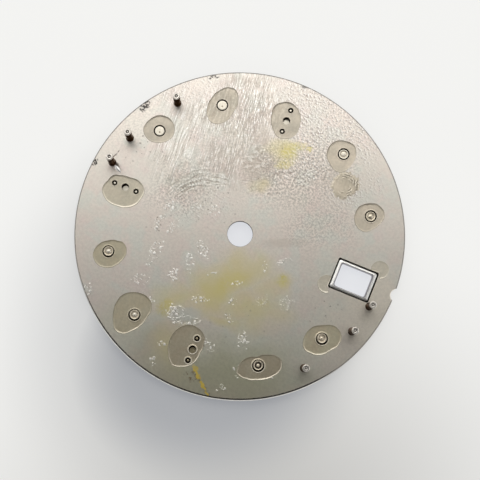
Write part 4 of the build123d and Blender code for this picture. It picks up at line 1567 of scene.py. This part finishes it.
def make_date_frame():
    """A closed section carried round the window: a bevel at the opening, painted dark grey as
    shade, the back edge that falls outwards, the sleeve, the flange on the front, and back through
    the opening, painted like the bevel. The sleeve's outside and the flange's back, in the gap
    round the frame, are painted near-black as shade. A row says how far in from the sleeve or the
    flange the ring lies, its corner and its height."""
    back, front = FRAME_BACK_Z, FRAME_FRONT_Z
    end_wall, side_wall = SLEEVE_HALF[0] - OPENING_HALF[0], SLEEVE_HALF[1] - OPENING_HALF[1]

    def ring(half, share, corner, z):
        return lift(box_loop((half[0] - share * end_wall, half[1] - share * side_wall), corner), z)

    bevel = [ring(SLEEVE_HALF, *row) for row in (
        (1.0, 0.2, back - 0.16), (0.88, 0.2, back - 0.1), (0.74, 0.2, back - 0.02))]
    crown = [ring(SLEEVE_HALF, *row) for row in (
        (0.74, 0.2, back - 0.02), (0.72, 0.2, back - 0.004), (0.68, 0.2, back),
        (0.1, 0.19, back - 0.066), (0.03, 0.19, back - 0.085), (0.0, 0.18, back - 0.11))]
    gap = [ring(*row) for row in (
        (SLEEVE_HALF, 0.0, 0.18, back - 0.11), (SLEEVE_HALF, 0.0, 0.18, FRONT_Z),
        (FLANGE_HALF, 0.0, 0.05, FRONT_Z))]
    flange = [ring(*row) for row in (
        (FLANGE_HALF, 0.0, 0.05, FRONT_Z),
        (FLANGE_HALF, 0.0, 0.05, front + 0.18), (FLANGE_HALF, 0.5, 0.05, front),
        (SLEEVE_HALF, 0.95, 0.2, front), (SLEEVE_HALF, 1.0, 0.2, front + 0.02))]
    tunnel = [flange[-1], bevel[0]]
    sections = ((bevel, True), (crown, True), (gap, False), (flange, False), (tunnel, False))
    parts = [flipped(ring_walls(rings, smooth)) for rings, smooth in sections]
    make_piece("window_frame", parts, [FRAME_METAL, BEVEL_SHADE, PAINTED_SHADE_DARK], "date_frame",
               [1, 0, 2, 0, 1])


# The posts


def sliver_part(place):
    """A sliver of metal raised beside a post: along it, its half width and its height both go as
    a power of the sine of the share of its length, and across it, the height falls off as one
    less the square of the share of the half width."""
    along, across = np.meshgrid(np.linspace(0, 1, 25), np.linspace(-1, 1, 13), indexing="ij")
    bulge = np.sin(np.pi * along) ** SLIVER_FULLNESS
    outward = polar(1, SLIVER_TURN)
    sideways = polar(1, SLIVER_TURN + 90)
    forward = SLIVER_START + SLIVER_LENGTH * along
    flat = (np.asarray(place) + forward[..., None] * outward
            + (SLIVER_HALF_WIDTH * bulge * across)[..., None] * sideways)
    height = SLIVER_EDGE_Z + SLIVER_HEIGHT * bulge * (1 - across**2)
    points = np.concatenate([flat, height[..., None]], axis=2)
    rows, columns = along.shape
    index = np.arange(rows * columns).reshape(rows, columns)
    faces = np.stack([index[:-1, :-1], index[1:, :-1], index[1:, 1:], index[:-1, 1:]], axis=2)
    return points.reshape(-1, 3), faces.reshape(-1, 4), True


def make_dial_foot(pair, side, turn):
    """A post: a weld collar that spreads into the plate, a shaft, and a rounded tip with a dark
    groove round its light middle. The shaft's dark brown is partly painted shade, and the groove is
    painted near-black as shade."""
    r, top = DIAL_FOOT_RADIUS, DIAL_FOOT_LENGTH
    shaft = [
        (r + 0.03, 0.0), (r + 0.02, 0.012), (r + 0.005, 0.03), (r - 0.01, 0.08), (r - 0.02, 0.9),
        (r - 0.01, 1.8), (r, top - 0.16), (r - 0.008, top - 0.07),
    ]
    end = [
        (r - 0.008, top - 0.07), (r - 0.025, top - 0.03), (r - 0.055, top - 0.006),
        (r - 0.09, top), (0.15, top - 0.004), (0.13, top - 0.012),
    ]
    pit = [(0.13, top - 0.012), (0.115, top - 0.05), (0.095, top - 0.06), (0.07, top - 0.045)]
    middle = [(0.07, top - 0.045), (0.055, top - 0.03), (0.03, top - 0.025)]
    tip = (None, top - 0.024)
    place = polar(DIAL_FOOT_CIRCLE, turn)
    parts = []
    for profile, tips in ((shaft, (None, None)), (end, (None, None)), (pit, (None, None)),
                          (middle, tip)):
        parts += lathe(profile, place, count=POST_POINTS, tips=tips)
    # The groove round the tip is painted near-black as shade
    slots = [0, 1, 2, 1, 1]
    if (pair, side) == SLIVER_POST:
        parts.append(sliver_part(place))
        slots.append(3)
    make_piece(f"post_{pair}_{side}", parts, [FOOT_METAL, FOOT_END_METAL, PAINTED_SHADE_DARK, SLIVER_METAL],
               f"dial_foot_{pair}_{side}", slots)


make_plate()
make_lacquer()
for hour in ROUND_HOURS:
    make_round_marker(hour)
for hour in LONG_HOURS:
    make_long_marker(hour)
make_date_frame()
for pair, turn in DIAL_FOOT_TURNS.items():
    make_dial_foot(pair, "date_side", turn)
    make_dial_foot(pair, "far_side", turn + 180)

for node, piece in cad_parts.items():
    if node.startswith("lume_filling"):
        piece.data.materials.clear()
        piece.data.materials.append(LUME)


# Floor, world, lamps and camera


def floor_colour(tree, place, far):
    """The floor's own light: pale, with a wide painted shadow and a soft painted shadow beside the
    dial, painted shade under the dial, and the surround's tone far out."""
    floor_z = cad_lowest[2] / METRES
    under = use_group(tree, SOFT_PATCH, {
        "Place": place, "Middle": (0.0, 0.0, 0.0), "Turn": 0.0,
        "Half Sizes": (DIAL_RADIUS, DIAL_RADIUS, 1.0), "Core": UNDER_CORE})["Mask"]
    x, y = on_dial(*WIDE_SHADE_MIDDLE, floor_z)
    wide = use_group(tree, SOFT_PATCH, {
        "Place": place, "Middle": (x, y, 0.0), "Turn": np.radians(-VIEW_ROLL),
        "Half Sizes": (WIDE_SHADE_REACH[0] * PIXEL, WIDE_SHADE_REACH[1] * PIXEL, 1.0),
        "Core": 0.0})["Mask"]
    open_share = calc(tree, "SUBTRACT", 1.0, calc(tree, "MULTIPLY", under, UNDER_COVER))
    shade = calc(tree, "MULTIPLY", patches(tree, place, SHADES, core=SHADE_CORE, height=floor_z),
                 open_share)
    colour = blend_colour(tree, wide, FLOOR_COLOUR, WIDE_SHADE_COLOUR)
    for share, tone in ((shade, SHADE_COLOUR), (under, UNDER_DIAL_SHADE), (far, SURROUND_COLOUR)):
        colour = blend_colour(tree, share, colour, tone)
    return colour


def make_floor():
    """A wide pale floor under the markers. It shines by itself where it is seen, directly or in
    metal, with the soft painted shadow beside the dial, and what light falls on it keeps the
    dial's shadow. Far out it takes on the surround's tone."""
    material, tree, shader = new_material("pale_floor")
    place = dial_millimetres(tree)
    far = span(tree, length_of(tree, place), FAR_START, FAR_END)
    glow = put(tree, "ShaderNodeEmission",
               {"Color": floor_colour(tree, place, far), "Strength": 1.0}).outputs[0]
    fill(tree, shader, {"Base Color": blend_colour(tree, far, FLOOR_PAINT, (0, 0, 0, 1)),
                        "Roughness": 0.9, "Specular IOR Level": 0.0})
    ray = put(tree, "ShaderNodeLightPath", {}).outputs
    direct = calc(tree, "MAXIMUM", ray["Is Camera Ray"],
                  calc(tree, "MAXIMUM", ray["Is Glossy Ray"], ray["Is Transmission Ray"]))
    lit = put(tree, "ShaderNodeAddShader", {0: glow, 1: shader.outputs[0]}).outputs[0]
    mix = put(tree, "ShaderNodeMixShader", {0: direct, 1: shader.outputs[0], 2: lit}).outputs[0]
    fill(tree, tree.nodes["Material Output"], {"Surface": mix})
    corners = [(x * FLOOR_REACH, y * FLOOR_REACH, cad_lowest[2])
               for x, y in ((-1, -1), (1, -1), (1, 1), (-1, 1))]
    mesh = bpy.data.meshes.new("floor")
    mesh.from_pydata(corners, [], [(0, 1, 2, 3)])
    mesh.materials.append(material)
    floor = bpy.data.objects.new("floor", mesh)
    bpy.context.scene.collection.objects.link(floor)


def make_world():
    """A pale surround up to a little above the horizon, and a dim ceiling."""
    world = bpy.data.worlds.new("surround")
    world.use_nodes = True
    tree = world.node_tree
    heading = put(tree, "ShaderNodeTexCoord", {}).outputs["Generated"]
    up = put(tree, "ShaderNodeSeparateXYZ", {0: heading}).outputs["Z"]
    colour = blend_colour(tree, span(tree, up, *CEILING_SPAN), SURROUND_COLOUR, CEILING_COLOUR)
    fill(tree, tree.nodes["Background"], {"Color": colour})
    bpy.context.scene.world = world


def make_panel(name, place, size, radiance, colour):
    """A soft lamp panel that faces the dial, at a place in the photograph's frame. Its power is its
    radiance times pi times its area."""
    lamp = bpy.data.lights.new(name, "AREA")
    lamp.shape = "RECTANGLE"
    lamp.size, lamp.size_y = size[0] * METRES, size[1] * METRES
    lamp.energy = radiance * np.pi * lamp.size * lamp.size_y
    lamp.color = colour
    panel = bpy.data.objects.new(name, lamp)
    where = from_photo(*place) * METRES
    away = where.normalized()
    side = photo_turn().transposed() @ Vector((1, 0, 0))
    up = away.cross(side).normalized()
    side = up.cross(away).normalized()
    panel.matrix_world = Matrix.Translation(where) @ Matrix((side, up, away)).transposed().to_4x4()
    bpy.context.scene.collection.objects.link(panel)


def make_camera():
    """The photograph's camera: its place and lens were fitted to the dial's outline and holes."""
    data = bpy.data.cameras.new("camera")
    data.lens = CAMERA_LENS
    data.sensor_width = CAMERA_SENSOR
    data.clip_start, data.clip_end = CAMERA_CLIP
    camera = bpy.data.objects.new("camera", data)
    turn = photo_turn().transposed()
    where = from_photo(0, 0, CAMERA_DISTANCE) * METRES
    camera.matrix_world = Matrix.Translation(where) @ turn.to_4x4()
    bpy.context.scene.collection.objects.link(camera)
    bpy.context.scene.camera = camera


make_floor()
make_world()
for panel in PANELS:
    make_panel(*panel)
make_camera()
bpy.context.scene.view_settings.view_transform = "Standard"
